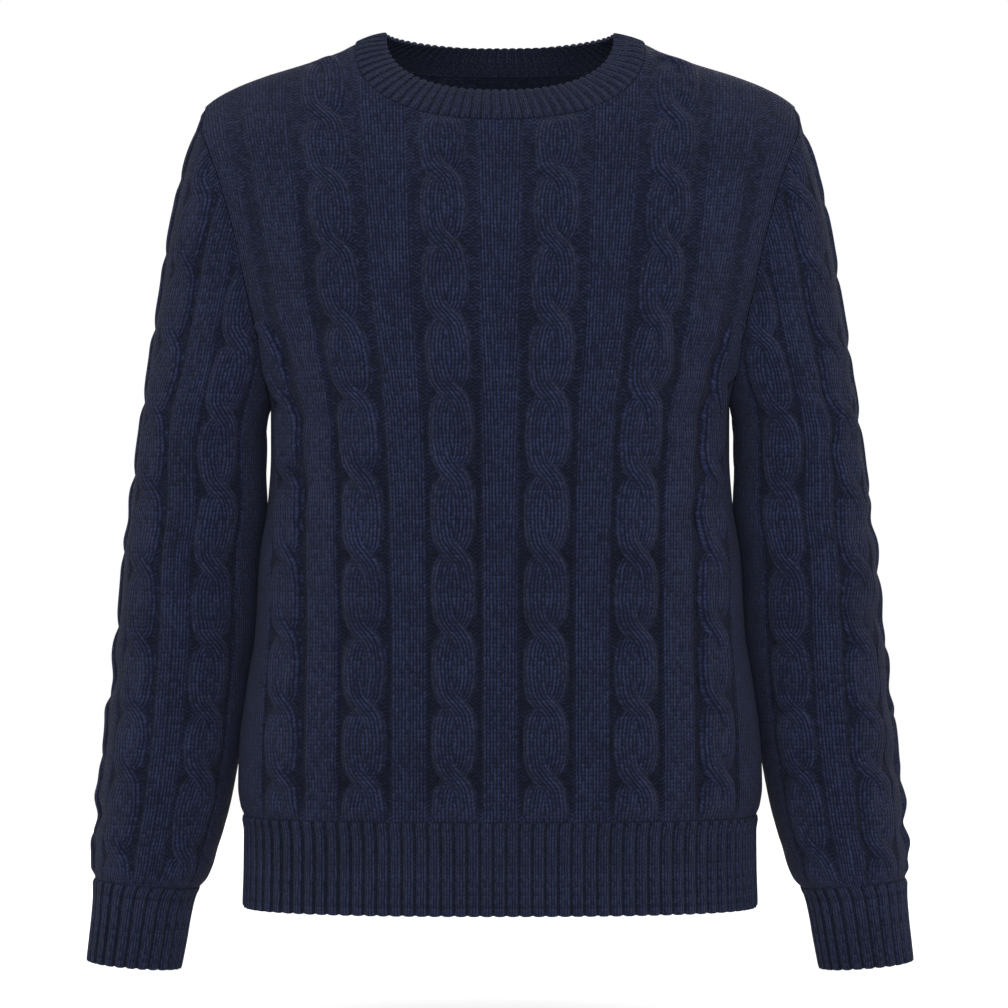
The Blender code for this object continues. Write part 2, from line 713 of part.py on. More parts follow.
def ribbed_wall(name, rows, rise, closed, seam_rise=0.5, group=4):
    """A ribbed band.  Each row holds (place, outward direction) pairs, groove and rib in turn,
    seen from outside from left to right; rows run from the lowest to the highest."""
    mesh = bmesh.new()
    outer, inner = [], []
    for number, row in enumerate(rows):
        part = seam_rise if number == len(rows) - 1 else 1.0
        outer.append([mesh.verts.new((place + normal * rise * part * (i % 2)) * MM)
                      for i, (place, normal) in enumerate(row)])
        inner.append([mesh.verts.new((place - normal * RIB_WALL) * MM)
                      for i, (place, normal) in enumerate(row) if i % group == 0])
    for low in range(len(rows) - 1):
        for wall, turned in ((outer, False), (inner, True)):
            count = len(wall[low])
            for i in range(count if closed else count - 1):
                corners = [wall[low][i], wall[low][(i + 1) % count],
                           wall[low + 1][(i + 1) % count], wall[low + 1][i]]
                mesh.faces.new(reversed(corners) if turned else corners)
    for number, turned in ((0, True), (len(rows) - 1, False)):
        count, ring = len(inner[number]), outer[number]
        for i in range(count if closed else count - 1):
            run = [ring[(i * group + j) % len(ring)] for j in range(group + 1)]
            corners = run + [inner[number][(i + 1) % count], inner[number][i]]
            mesh.faces.new(reversed(corners) if turned else corners)
    if not closed:
        for end, turned in ((0, True), (-1, False)):
            corners = [row[end] for row in inner] + [row[end] for row in reversed(outer)]
            mesh.faces.new(reversed(corners) if turned else corners)
    return finish(name, mesh, RIB_KNIT)


def hem_rib(face):
    """The front or back half of the hem's ribbing."""
    surface = body_surface(face)
    rows = []
    for height in (HEM, SEAM_HEM - 16.0, SEAM_HEM - SEAM_GAP / 2):
        edge = body_edge(height, face)
        rows.append([surface(across, height) for across in steps(-edge, edge, 2 * HEM_RIBS_A_PANEL)])
    rows[-1] = [(place, level_rim(normal)) for place, normal in rows[-1]]
    return ribbed_wall("hem_rib_" + face, rows, RIB_RISE, closed=False)


def cuff(side):
    """A ribbed cuff on the sleeve's tilted lower edge."""
    surface = sleeve_surface(side)
    turn = -1 if side == "left" else 1
    rows = []
    for level in (CUFF_END, (CUFF_END + CUFF_SEAM) / 2, CUFF_SEAM - SEAM_GAP / 2):
        row = []
        low = inner_level(level)
        back, front = half_round_across(low, -1), half_round_across(low, 1)
        for i in range(2 * CUFF_RIBS):
            part = i / (2 * CUFF_RIBS)
            across = turn * (back + (front - back) * (part if turn > 0 else 1 - part))
            row.append(surface(across, cuff_level(turn * across, level)))
        rows.append(row)
    rows[-1] = [(place, level_rim(normal, -turn * CUFF_TILT)) for place, normal in rows[-1]]
    return ribbed_wall("cuff_" + side, rows, RIB_RISE, closed=True, group=2)


def even_points(curve, count):
    """Equally spaced fractions round a closed curve of (key, point) samples."""
    ways = [0.0]
    for i in range(1, len(curve) + 1):
        ways.append(ways[-1] + (curve[i % len(curve)][1] - curve[i - 1][1]).length)
    keys = []
    for number in range(count):
        target = ways[-1] * number / count
        i = min(bisect.bisect_right(ways, target) - 1, len(curve) - 1)
        keys.append(curve[i][0] + (target - ways[i]) / (ways[i + 1] - ways[i]) * TURN_STEP)
    return keys


NECK_SAMPLES = 720
TURN_STEP = 2 * math.pi / NECK_SAMPLES


def neck_seam_point(turn):
    """Place and rim direction on the body's neck edge; turn 0 is the left shoulder, then front."""
    face = "front" if math.sin(turn) >= 0 else "back"
    x = NECK_SEAM_HALF * min(abs(math.cos(turn)), 1.0) ** (2 / NECK_ROUNDNESS)
    height = neck_seam_drop(x, face)
    across = across_of_width(x, height, face)
    place, normal = body_surface(face)(across if face == "front" else -across, height)
    if math.cos(turn) < 0:
        place.x, normal.x = -place.x, -normal.x
    return place, normal


def neck_edge_point(turn):
    """Place on the upper edge of the neck rib."""
    depth, drop = NECK_EDGE_FRONT if math.sin(turn) >= 0 else NECK_EDGE_BACK
    power = 2 / NECK_ROUNDNESS
    along, deep = abs(math.cos(turn)) ** power, abs(math.sin(turn)) ** power
    return Vector((math.copysign(NECK_EDGE_HALF * along, math.cos(turn)), depth * deep,
                   NECK_EDGE_SIDE + drop * deep))


def neck_rib():
    """The neck's rib: a ribbed band from the neck seam up to the opening."""
    turns = [TURN_STEP * i for i in range(NECK_SAMPLES)]
    seam_keys = even_points([(turn, neck_seam_point(turn)[0]) for turn in turns], 2 * NECK_RIBS)
    edge_keys = even_points([(turn, neck_edge_point(turn)) for turn in turns], 2 * NECK_RIBS)
    rows = [[], [], []]
    # seen from outside the front runs from the right arm (-X) to the left arm (+X)
    for seam_key, edge_key in reversed(list(zip(seam_keys, edge_keys))):
        seam, seam_normal = neck_seam_point(seam_key)
        edge = neck_edge_point(edge_key)
        reach = edge - seam
        ahead = neck_edge_point(edge_key + 0.02) - neck_edge_point(edge_key - 0.02)
        edge_normal = reach.cross(ahead).normalized()
        seam_run = neck_seam_point(seam_key + TURN_STEP)[0] - neck_seam_point(seam_key - TURN_STEP)[0]
        seam_run.normalize()
        away = (reach - seam_run * reach.dot(seam_run)).normalized()
        rows[0].append((seam + away * NECK_SEAM_ROOM, seam_normal))
        rows[1].append((seam + reach * 0.5 + edge_normal * 1.2, edge_normal))
        rows[2].append((edge, edge_normal))
    return ribbed_wall("neck_rib", rows, NECK_RIB_RISE, closed=True, seam_rise=1.0)


for old in list(bpy.data.objects):
    bpy.data.objects.remove(old)

for panel_face in ("front", "back"):
    body_panel(panel_face)
    hem_rib(panel_face)
for arm in SIDES:
    sleeve(arm)
    cuff(arm)
neck_rib()
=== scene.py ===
"""A crew-neck cable knit sweater in navy cotton and wool, filled out as if worn.

Sizes are in millimetres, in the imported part's frame: +Z up, the front at -Y, the
wearer's left arm at +X and the origin in the middle of the neck opening.  As in
knitting, `across` runs to the right as seen from outside and `up` is the height.
"""
import math

import bmesh
import bpy
import numpy as np
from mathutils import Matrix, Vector
from mathutils.geometry import delaunay_2d_cdt
from mathutils.kdtree import KDTree


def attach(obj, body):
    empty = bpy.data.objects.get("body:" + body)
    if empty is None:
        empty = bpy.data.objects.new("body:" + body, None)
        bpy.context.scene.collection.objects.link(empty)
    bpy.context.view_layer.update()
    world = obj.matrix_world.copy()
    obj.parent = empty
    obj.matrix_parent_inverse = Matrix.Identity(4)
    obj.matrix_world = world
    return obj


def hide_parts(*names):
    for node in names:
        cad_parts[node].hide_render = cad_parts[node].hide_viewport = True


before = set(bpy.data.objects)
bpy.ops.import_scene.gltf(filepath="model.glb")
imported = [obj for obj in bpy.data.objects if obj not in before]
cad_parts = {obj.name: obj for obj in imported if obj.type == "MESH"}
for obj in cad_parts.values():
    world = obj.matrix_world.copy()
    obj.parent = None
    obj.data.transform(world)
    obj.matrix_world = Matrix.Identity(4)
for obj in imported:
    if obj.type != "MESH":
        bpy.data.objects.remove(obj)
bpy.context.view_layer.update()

# ---- The view ----
# A long lens stands level with the middle of the sweater, 3.8 m in front of it.  The
# photograph shows 0.77 mm a pixel at the depth of the side seams.
scene = bpy.context.scene
CAMERA_DISTANCE = 3.8
SEEN_WIDTH = 1008 * 0.00077
camera_data = bpy.data.cameras.new("camera")
camera_data.sensor_width = 36.0
camera_data.lens = 36.0 * CAMERA_DISTANCE / SEEN_WIDTH
camera = bpy.data.objects.new("camera", camera_data)
camera.location = (0.003, -CAMERA_DISTANCE, -0.3634)
camera.rotation_euler = (math.pi / 2, 0, 0)
scene.collection.objects.link(camera)
scene.camera = camera


def add_node(tree, kind, inputs=None, **settings):
    """Add one shader node and give its first outlet; inputs are values or feeding sockets."""
    node = tree.nodes.new(kind)
    for name, value in settings.items():
        setattr(node, name, value)
    for socket, value in (inputs or {}).items():
        if isinstance(value, bpy.types.NodeSocket):
            tree.links.new(value, node.inputs[socket])
        else:
            node.inputs[socket].default_value = value
    return node.outputs[0]


def linear(hex_colour):
    """An sRGB hex colour as linear red, green, blue and 1."""
    parts = [int(hex_colour[i:i + 2], 16) / 255 for i in (1, 3, 5)]
    return (*[c / 12.92 if c <= 0.04045 else ((c + 0.055) / 1.055) ** 2.4 for c in parts], 1.0)


# A white paper floor just under the cuffs rises gently behind the sweater, and the
# front lamp throws the sweater's soft shadow there.
FLOOR, FLOOR_REACH = -0.76, 4.0
RISE_LENGTH, RISE_HEIGHT = 0.85, 0.101
floor_lines = ((-FLOOR_REACH, FLOOR), (0.0, FLOOR), (RISE_LENGTH, FLOOR + RISE_HEIGHT))
floor_corners = [(x, y, z) for y, z in floor_lines for x in (-FLOOR_REACH, FLOOR_REACH)]
floor_data = bpy.data.meshes.new("paper_floor")
floor_data.from_pydata(floor_corners, [], [(0, 1, 3, 2), (2, 3, 5, 4)])
floor = bpy.data.objects.new("paper_floor", floor_data)
scene.collection.objects.link(floor)
paper = bpy.data.materials.new("matte white background paper")
paper.use_nodes = True
paper_shader = paper.node_tree.nodes["Principled BSDF"]
paper_shader.inputs["Base Color"].default_value = linear("#fafafa")
paper_shader.inputs["Roughness"].default_value = 0.95
paper_shader.inputs["Specular IOR Level"].default_value = 0.1
floor_data.materials.append(paper)

# Soft studio light: a white room, a broad lamp behind the camera, a softbox overhead and
# another behind the sweater.
world = bpy.data.worlds.new("white studio")
world.use_nodes = True
world.node_tree.nodes["Background"].inputs["Color"].default_value = (1.0, 1.0, 1.0, 1.0)
world.node_tree.nodes["Background"].inputs["Strength"].default_value = 1.0
scene.world = world
scene.view_settings.view_transform = "Standard"
for name, place, size, watts in (("front_lamp", (0.0, -5.0, 0.22), 0.8, 320.0),
                                 ("softbox_overhead", (-0.25, -0.8, 1.5), 1.2, 14.0),
                                 ("softbox_behind", (0.9, 2.6, 1.6), 1.2, 60.0)):
    lamp_data = bpy.data.lights.new(name, "AREA")
    lamp_data.shape = "SQUARE"
    lamp_data.size = size
    lamp_data.energy = watts
    lamp = bpy.data.objects.new(name, lamp_data)
    lamp.location = place
    lamp.rotation_euler = (Vector((0, 0, -0.35)) - Vector(place)).to_track_quat("-Z", "Y").to_euler()
    scene.collection.objects.link(lamp)

# ---- The yarn ----
# Navy two-ply cotton and wool yarn, washed to a soft nap that leaves it matt.  Its colour
# is painted a little paler on the raised parts and darker in the sunk lines and between the
# stitches, partly rubbed wear and partly painted shade.  The stitches are a pattern on each
# piece's own stitch map: one unit across is a stitch column, one up a row.
STRAY_WAVES = 170.0  # in a metre: one in 6 mm, about a stitch
FIBRE_WAVES = 520.0  # one in 2 mm, drawn coarser than real fibres so that they show
PATCH_WAVES = 26.0  # one in 38 mm


def knitted_yarn(name, deep, face, crest, row_break):
    """The knitted fabric's material: `deep` between the stitches, `crest` on their tops.

    `row_break` is how much each row is set off from the next one."""
    material = bpy.data.materials.new(name)
    material.use_nodes = True
    tree = material.node_tree
    shader = tree.nodes["Principled BSDF"]
    place = add_node(tree, "ShaderNodeTexCoord").node.outputs["Object"]
    side_map = add_node(tree, "ShaderNodeUVMap", uv_map="side")
    side = add_node(tree, "ShaderNodeSeparateXYZ", {0: side_map})

    # hand-fed yarn is uneven: the stitches stray a little from their columns and rows
    stitch_map = add_node(tree, "ShaderNodeUVMap", uv_map="stitches")
    wander = add_node(tree, "ShaderNodeTexNoise", {"Vector": place, "Scale": STRAY_WAVES, "Detail": 2.0})
    stray = add_node(tree, "ShaderNodeVectorMath",
                     {0: wander.node.outputs[1], 1: (0.28, 0.6, 0.0), 2: stitch_map},
                     operation="MULTIPLY_ADD")
    stitch = add_node(tree, "ShaderNodeSeparateXYZ", {0: stray})

    # w runs from a stitch's middle (0) to its edge (1).  Outside, its two legs slant to a V;
    # on the reverse the loops' heads zigzag from column to column
    row = stitch.node.outputs[1]
    column = add_node(tree, "ShaderNodeMath", {0: stitch}, operation="FRACT")
    centred = add_node(tree, "ShaderNodeMath", {0: column, 1: 2.0, 2: -1.0}, operation="MULTIPLY_ADD")
    w = add_node(tree, "ShaderNodeMath", {0: centred}, operation="ABSOLUTE")
    parts = [w]
    for slant in (-0.45, 0.6):
        slanted = add_node(tree, "ShaderNodeMath", {0: w, 1: slant, 2: row}, operation="MULTIPLY_ADD")
        parts.append(add_node(tree, "ShaderNodeMath", {0: slanted}, operation="FRACT"))
    # across a leg, along it and along a head, the yarn is high in the middle and drops at the ends
    rounds = []
    for part, drop, top in zip(parts, (0.9, row_break, 0.6), (1.0, 1.0, 0.8)):
        from_middle = add_node(tree, "ShaderNodeMath", {0: part, 1: 2.0, 2: -1.0}, operation="MULTIPLY_ADD")
        squared = add_node(tree, "ShaderNodeMath", {0: from_middle, 1: from_middle}, operation="MULTIPLY")
        rounds.append(add_node(tree, "ShaderNodeMath", {0: squared, 1: -drop, 2: top},
                               operation="MULTIPLY_ADD"))
    leg_side, leg, reverse = rounds
    plain = add_node(tree, "ShaderNodeMath", {0: leg, 1: leg_side}, operation="MULTIPLY")
    loops = add_node(tree, "ShaderNodeMix", {0: side, 2: plain, 3: reverse}, data_type="FLOAT")

    # every leg is pulled up tighter or looser than its neighbours
    leg_number = add_node(tree, "ShaderNodeVectorMath", {0: stray, 1: (2.0, 1.0, 0.0)},
                          operation="MULTIPLY")
    whole_number = add_node(tree, "ShaderNodeVectorMath", {0: leg_number}, operation="FLOOR")
    tension = add_node(tree, "ShaderNodeTexWhiteNoise", {"Vector": whole_number})
    pulled = add_node(tree, "ShaderNodeMath", {0: tension, 1: 0.5, 2: 0.7}, operation="MULTIPLY_ADD")
    relief = add_node(tree, "ShaderNodeMath", {0: loops, 1: pulled}, operation="MULTIPLY")

    # loose fibres of the nap, finer than a stitch, and soft patches where it has worn
    fibres = add_node(tree, "ShaderNodeTexNoise", {"Vector": place, "Scale": FIBRE_WAVES, "Detail": 4.0,
                                                   "Roughness": 0.75})
    patches = add_node(tree, "ShaderNodeTexNoise", {"Vector": place, "Scale": PATCH_WAVES, "Detail": 4.0,
                                                    "Roughness": 0.6})
    # painted shade: the stitches' relief darkens the colour between the stitches and lightens it on their
    # tops; the fibres add uneven tone
    fuzzy = add_node(tree, "ShaderNodeMath", {0: fibres, 1: 1.1, 2: relief}, operation="MULTIPLY_ADD")
    shade = add_node(tree, "ShaderNodeMapRange", {0: fuzzy, 1: 0.35, 2: 1.85, 3: 0.0, 4: 1.0})
    # painted shade and wear: the sunk lines are painted darker, as shade falls in them, and the
    # tops of the cables and ribs a little lighter, as if rubbed
    rubbed_and_painted_shade = add_node(tree, "ShaderNodeMapRange",
                      {0: side.node.outputs[1], 1: 0.0, 2: 0.5, 3: -0.34, 4: -0.10})
    patches_and_painted_shade = add_node(tree, "ShaderNodeMath", {0: patches, 1: 0.3, 2: rubbed_and_painted_shade}, operation="MULTIPLY_ADD")
    tone = add_node(tree, "ShaderNodeMath", {0: shade, 1: patches_and_painted_shade}, operation="ADD")
    colours = add_node(tree, "ShaderNodeValToRGB", {0: tone})
    ramp = colours.node.color_ramp.elements
    ramp[0].color = linear(deep)
    ramp[0].position = 0.05
    ramp[1].color = linear(crest)
    ramp.new(0.50).color = linear(face)
    bump = add_node(tree, "ShaderNodeBump", {"Strength": 1.0, "Distance": 0.0011, "Height": fuzzy})
    tree.links.new(colours, shader.inputs["Base Color"])
    tree.links.new(bump, shader.inputs["Normal"])
    shader.inputs["Roughness"].default_value = 0.92
    shader.inputs["Specular IOR Level"].default_value = 0.06
    shader.inputs["Sheen Weight"].default_value = 0.05
    shader.inputs["Sheen Roughness"].default_value = 0.40
    shader.inputs["Sheen Tint"].default_value = linear("#a9aed0")
    return material


navy_knit = knitted_yarn("navy cotton and wool, cable knitted", "#04050b", "#0a0d1b", "#1e233a", 0.36)
navy_rib = knitted_yarn("navy cotton and wool, rib knitted", "#04050b", "#0a0d1a", "#1e2339", 0.22)

# ---- The front and back ----
# Two panels, each knitted from the hem's ribbing up to the shoulder: six rope cables of
# three and three stitches, a sunk line of reverse stitches beside each and plain between.
MM = 0.001
WALL = 2.6
SEAM_GAP = 0.3
UNDERARM_ROOM = 0.5
NECK_SEAM_ROOM = 0.45
COLUMN = 5.0  # one stitch, sideways
ROW = 3.2  # one stitch, upwards
GRID_STEP = 2.35  # rows of the mesh, finer than the stitches
PANEL_STEP = 1.65  # its columns on the front and back
SHOULDER_ROWS = 88  # its rows over the shoulder
INSIDE_STEP = 9.0
PROBE = 0.8  # a near neighbour's distance, for directions

SEAM_HEM = -602.0
HEM = -672.0
UNDERARM = -288.0
SHOULDER = -57.0
NECK_SIDE = -9.5
EDGE_CABLE_TOP = -225.0  # the armhole's narrowing ends the outermost cables here

BODY_COLUMNS = ("height", "half_width", "front", "back", "spread")
BODY_SECTIONS = (
    (0, 226, 60, 66, 1.31),
    (-28, 226, 70.5, 77, 1.31),
    (-57, 226, 79.5, 90, 1.305),
    (-75, 228.5, 84, 98, 1.29),
    (-95, 221.8, 90, 106, 1.275),
    (-115, 214, 96, 113, 1.26),
    (-135, 208, 102, 117, 1.245),
    (-165, 200, 110.5, 121, 1.22),
    (-198, 193, 117, 122, 1.19),
    (-222, 187.5, 120, 121, 1.165),
    (-248, 182, 121.5, 119, 1.13),
    (-272, 178.3, 122, 116, 1.095),
    (-288, 176.3, 122, 113.5, 1.07),
    (-325, 176.2, 121, 108, 1.04),
    (-365, 178.8, 119, 104, 1.02),
    (-405, 185, 116, 102, 1.01),
    (-460, 188.2, 113, 101, 1),
    (-500, 194.3, 112, 101, 1),
    (-550, 200.6, 112, 103, 1),
    (-580, 201.5, 112, 103, 1),
    (-595, 199.5, 109.5, 101, 1),
    (-602, 196.8, 107.5, 99, 1),
    (-615, 194.8, 105, 97.5, 1),
    (-640, 195, 104, 97, 1),
    (-672, 196, 104, 97, 1),
)
BODY_SQUARENESS = 2.5

RIDGE_COLUMNS = ("half_width", "height")
SHOULDER_RIDGE = (
    (0, 12), (60, 8), (88, 0), (111.5, -9.5), (123.5, -15.5), (151, -25),
    (181, -34.3), (206, -44.3), (226, -57), (234, -70),
)
RIDGE_BASE = -150.0
RIDGE_ROUNDNESS = 2.3
RIDGE_SPREAD = 1.305  # half width at the ridge for each millimetre of knitting
STRAIGHT_ABOVE = -75.0
CURVED_BELOW = -130.0

ARMHOLE_DEPTH = 60.0
ARMHOLE_WIDEST = -198.0
ARMHOLE_UPPER_REACH = 150.0

NECK_SEAM_HALF = 111.5
NECK_SEAM_DROP = {"front": 63.5, "back": 18.5}
NECK_ROUNDNESS = 2.4


def smooth_curve(pairs):
    """A smooth curve through (place, value) pairs that never overshoots them."""
    places, values = np.array(sorted(pairs), float).T
    steps = np.diff(places)
    rises = np.diff(values) / steps
    slopes = np.empty(len(values))
    slopes[0], slopes[-1] = rises[0], rises[-1]
    before, after = rises[:-1], rises[1:]
    total = np.where(before * after > 0, before + after, 1.0)
    slopes[1:-1] = np.where(before * after > 0, 2 * before * after / total, 0.0)

    def value_at(place):
        place = np.clip(place, places[0], places[-1])
        i = np.clip(np.searchsorted(places, place, side="right") - 1, 0, len(rises) - 1)
        t = (place - places[i]) / steps[i]
        return ((2 * t ** 3 - 3 * t ** 2 + 1) * values[i] + (t ** 3 - 2 * t ** 2 + t) * steps[i] * slopes[i]
                + (3 * t ** 2 - 2 * t ** 3) * values[i + 1] + (t ** 3 - t ** 2) * steps[i] * slopes[i + 1])

    return value_at


def table_curves(columns, rows):
    """One smooth curve for each named column, over the table's first column."""
    return {name: smooth_curve([(row[0], row[i]) for row in rows]) for i, name in enumerate(columns) if i}


def eased(t):
    t = np.clip(t, 0.0, 1.0)
    return t * t * (3 - 2 * t)


BODY = table_curves(BODY_COLUMNS, BODY_SECTIONS)
RIDGE = table_curves(RIDGE_COLUMNS, SHOULDER_RIDGE)["height"]


def armhole_depth(height):
    """How far the armhole seam stands before and behind the side seam."""
    reach = np.where(height < ARMHOLE_WIDEST, ARMHOLE_WIDEST - UNDERARM, ARMHOLE_UPPER_REACH)
    depth = ARMHOLE_DEPTH * np.sqrt(np.maximum(0.0, 1 - ((height - ARMHOLE_WIDEST) / reach) ** 2))
    return np.where(height <= UNDERARM, 0.0, depth)


def shoulder_rounding(half_width, height):
    """1 on the body, falling to 0 on the shoulder ridge."""
    part = np.clip((height - RIDGE_BASE) / (RIDGE(half_width) - RIDGE_BASE), 0.0, 1.0)
    return (1 - part ** RIDGE_ROUNDNESS) ** (1 / RIDGE_ROUNDNESS)


def body_slices(heights, face, samples=151):
    """For each height, points across half the body: knitting distance, x and depth."""
    deep, wide = BODY[face](heights), BODY["half_width"](heights)
    seam = np.minimum(armhole_depth(heights) / deep, 0.95)
    wide = wide / (1 - seam ** BODY_SQUARENESS) ** (1 / BODY_SQUARENESS)
    t = np.linspace(0, 1, samples)
    angle = math.pi / 2 * (t - 0.7 * np.sin(2 * math.pi * t) / (2 * math.pi))
    power = 2 / BODY_SQUARENESS
    x = wide[:, None] * np.sin(angle) ** power
    y = deep[:, None] * np.maximum(np.cos(angle), 0.0) ** power
    rounded = y * shoulder_rounding(x, heights[:, None])
    way = np.zeros_like(x)
    way[:, 1:] = np.cumsum(np.hypot(np.diff(x), np.diff(rounded)), axis=1)
    curved = eased((STRAIGHT_ABOVE - heights) / (STRAIGHT_ABOVE - CURVED_BELOW))[:, None]
    return (curved * way + (1 - curved) * x) / BODY["spread"](heights)[:, None], x, y


def read_rows(keys, row, wanted, columns):
    """Read columns of a table at a wanted key in each point's own row, keys growing."""
    count = keys.shape[1]
    lift = 1e4 * np.arange(len(keys))
    flat = (keys + lift[:, None]).ravel()
    target = wanted + lift[row]
    i = np.clip(np.searchsorted(flat, target, side="right") - 1, row * count, row * count + count - 2)
    gap = flat[i + 1] - flat[i]
    t = np.where(gap > 1e-9, (target - flat[i]) / np.maximum(gap, 1e-9), 0.0)
    return [column.ravel()[i] * (1 - t) + column.ravel()[i + 1] * t for column in columns]


def rows_of(up):
    """The different heights among the points, and which of them each point has."""
    heights, row = np.unique(np.round(up, 3), return_inverse=True)
    return heights, row.ravel()


def body_places(across, up, face):
    """Points of the right half of the front or back with these knitting coordinates."""
    heights, row = rows_of(up)
    distance, x, y = body_slices(heights, face)
    x, y = read_rows(distance, row, across, (x, y))
    y = np.maximum(y * shoulder_rounding(x, up), SEAM_GAP / 2)
    return np.stack((x, -y if face == "front" else y, up), axis=1)


def unit(vectors):
    return vectors / np.linalg.norm(vectors, axis=1)[:, None]


def body_surface(face):
    """Places and outward directions on a panel for coordinates seen from outside."""

    def surface(across, up):
        outwards = np.abs(across)
        here = body_places(outwards, up, face)
        middle = outwards < PROBE
        inner = body_places(np.where(middle, PROBE, outwards - PROBE), up, face)
        inner[middle, 0] *= -1
        inner[middle, 1] = here[middle, 1]
        below = body_places(outwards, up - PROBE, face)
        normal = np.cross(here - inner, here - below) * (1 if face == "front" else -1)
        normal[np.abs(here[:, 1]) < SEAM_GAP, 1] = 0.0
        normal = unit(normal)
        mirrored = (across < 0) == (face == "front")
        here[mirrored, 0] *= -1
        normal[mirrored, 0] *= -1
        return here, normal

    return surface


def body_edge(heights, face):
    """Knitting distance from the middle to the side or armhole seam."""
    distance, x, _ = body_slices(heights, face)
    at_seam = read_rows(x, np.arange(len(heights)), BODY["half_width"](heights), (distance,))[0]
    return np.where(heights <= UNDERARM, distance[:, -1], at_seam)


def across_of_width(widths, heights, face):
    distance, x, _ = body_slices(heights, face)
    return read_rows(x, np.arange(len(heights)), widths, (distance,))[0]


def neck_seam_height(half_width, face):
    part = np.minimum(half_width / NECK_SEAM_HALF, 1.0)
    return NECK_SIDE - NECK_SEAM_DROP[face] * (1 - part ** NECK_ROUNDNESS) ** (1 / NECK_ROUNDNESS)


def armhole_heights(count):
    return UNDERARM + (SHOULDER - UNDERARM) * (1 - np.cos(np.pi * np.arange(count + 1) / count)) / 2


def panel_outline(face):
    """The outline of a panel, anticlockwise from the middle of the hem."""
    hem = SEAM_HEM + SEAM_GAP / 2
    bottom = np.linspace(0.0, body_edge(np.array([hem]), face)[0], 140)
    sides = np.concatenate((np.linspace(hem, UNDERARM, 135)[1:-1], armhole_heights(110)))
    ridge = np.linspace(float(BODY["half_width"](SHOULDER)), NECK_SEAM_HALF, 60)[1:]
    turns = np.linspace(0, np.pi / 2, 70)[1:]
    neck = NECK_SEAM_HALF * np.maximum(np.cos(turns), 0.0) ** (2 / NECK_ROUNDNESS)
    neck_up = neck_seam_height(neck, face) - SEAM_GAP / 2
    across = np.concatenate((bottom, body_edge(sides, face), across_of_width(ridge, RIDGE(ridge), face),
                             across_of_width(neck, neck_up, face)))
    up = np.concatenate((np.full(len(bottom), hem), sides, RIDGE(ridge), neck_up))
    across[-1] = 0.0
    return np.concatenate((across, -across[-2:0:-1])), np.concatenate((up, up[-2:0:-1]))


def panel_grid():
    """Fine points over a panel: even rows up to the chest, then along the shoulder's curve."""
    columns = np.arange(-250.0, 250.1, PANEL_STEP)
    low = np.arange(SEAM_HEM + 1.5, RIDGE_BASE, GRID_STEP)
    across, up = [g.ravel() for g in np.meshgrid(columns, low)]
    turns = (np.arange(SHOULDER_ROWS) + 0.5) / SHOULDER_ROWS * np.pi / 2
    tops = RIDGE(np.abs(columns) * RIDGE_SPREAD)
    high = RIDGE_BASE + (tops - RIDGE_BASE)[:, None] * np.sin(turns) ** (2 / RIDGE_ROUNDNESS)
    return np.concatenate((across, np.repeat(columns, SHOULDER_ROWS))), np.concatenate((up, high.ravel()))


# Heights where the cables cross, from the lowest, as the photograph shows them
BODY_CROSSINGS = (-569.4, -514.2, -458.9, -400.7, -340.2, -280.5, -224.0, -168.4, -116.0, -68.0, -22.0)
# Each cable's middle and top, and whether its left and its right sunk line end there too
BODY_CABLES = [((step + 0.5) * 68.6, EDGE_CABLE_TOP if step in (-3, 2) else 50.0, step == -3, step == 2)
               for step in range(-3, 3)]
BODY_CABLE_RISE = 5.0
BODY_GUTTER_EDGE = 21.5
GUTTER_INNER = 10.0  # the sunk lines begin this far from a cable's middle
GUTTER_SINK = 1.9
STRAND_COLUMNS = 3
STRAND_OFFSET = 8.8  # from a cable's middle to its strands', halfway between crossings
STRAND_HALF = 8.2
STRAND_ROUNDNESS = 2.6
QUICK_SWING = 0.52  # this much of the way is crossed close to the crossing
FRONT_SWELL, BACK_SWELL = 2.4, 0.8
FRONT_LIFT, BACK_DIP = 0.20, 0.88
CABLE_HALF, CABLE_ROUNDNESS, CABLE_TOP = 17.0, 3, 0.97
# Parts of a repeat in which the strands cross, lean and dip, and where they merge again
CROSSED, LEANING, DIPPING, MERGE_FROM, MERGE_OVER = 0.2, 0.14, 0.18, 0.16, 0.22
RELIEF_FADE = 8.0
CREASE_FADE = 25.0
RIBBING_FADE = 32.0  # towards hem and cuffs the cables flatten slowly
INSIDE_SHADE_LEVEL = 0.2  # painted shade: the inside is painted nearly as dark as a sunk line


def crossing_count(crossings):
    """How many crossings lie below a height, as a smooth growing number."""
    spacing = crossings[1] - crossings[0]
    pairs = [(height, i) for i, height in enumerate(crossings)]
    pairs = [(crossings[0] - 2 * spacing, -2)] + pairs + [(crossings[-1] + 2 * spacing, len(crossings) + 1)]
    return smooth_curve(pairs)


def oval(part, roundness):
    """Height of a rounded ridge, 1 in its middle and 0 from part 1 outwards."""
    return np.sqrt(np.maximum(0.0, 1 - np.abs(part) ** roundness))


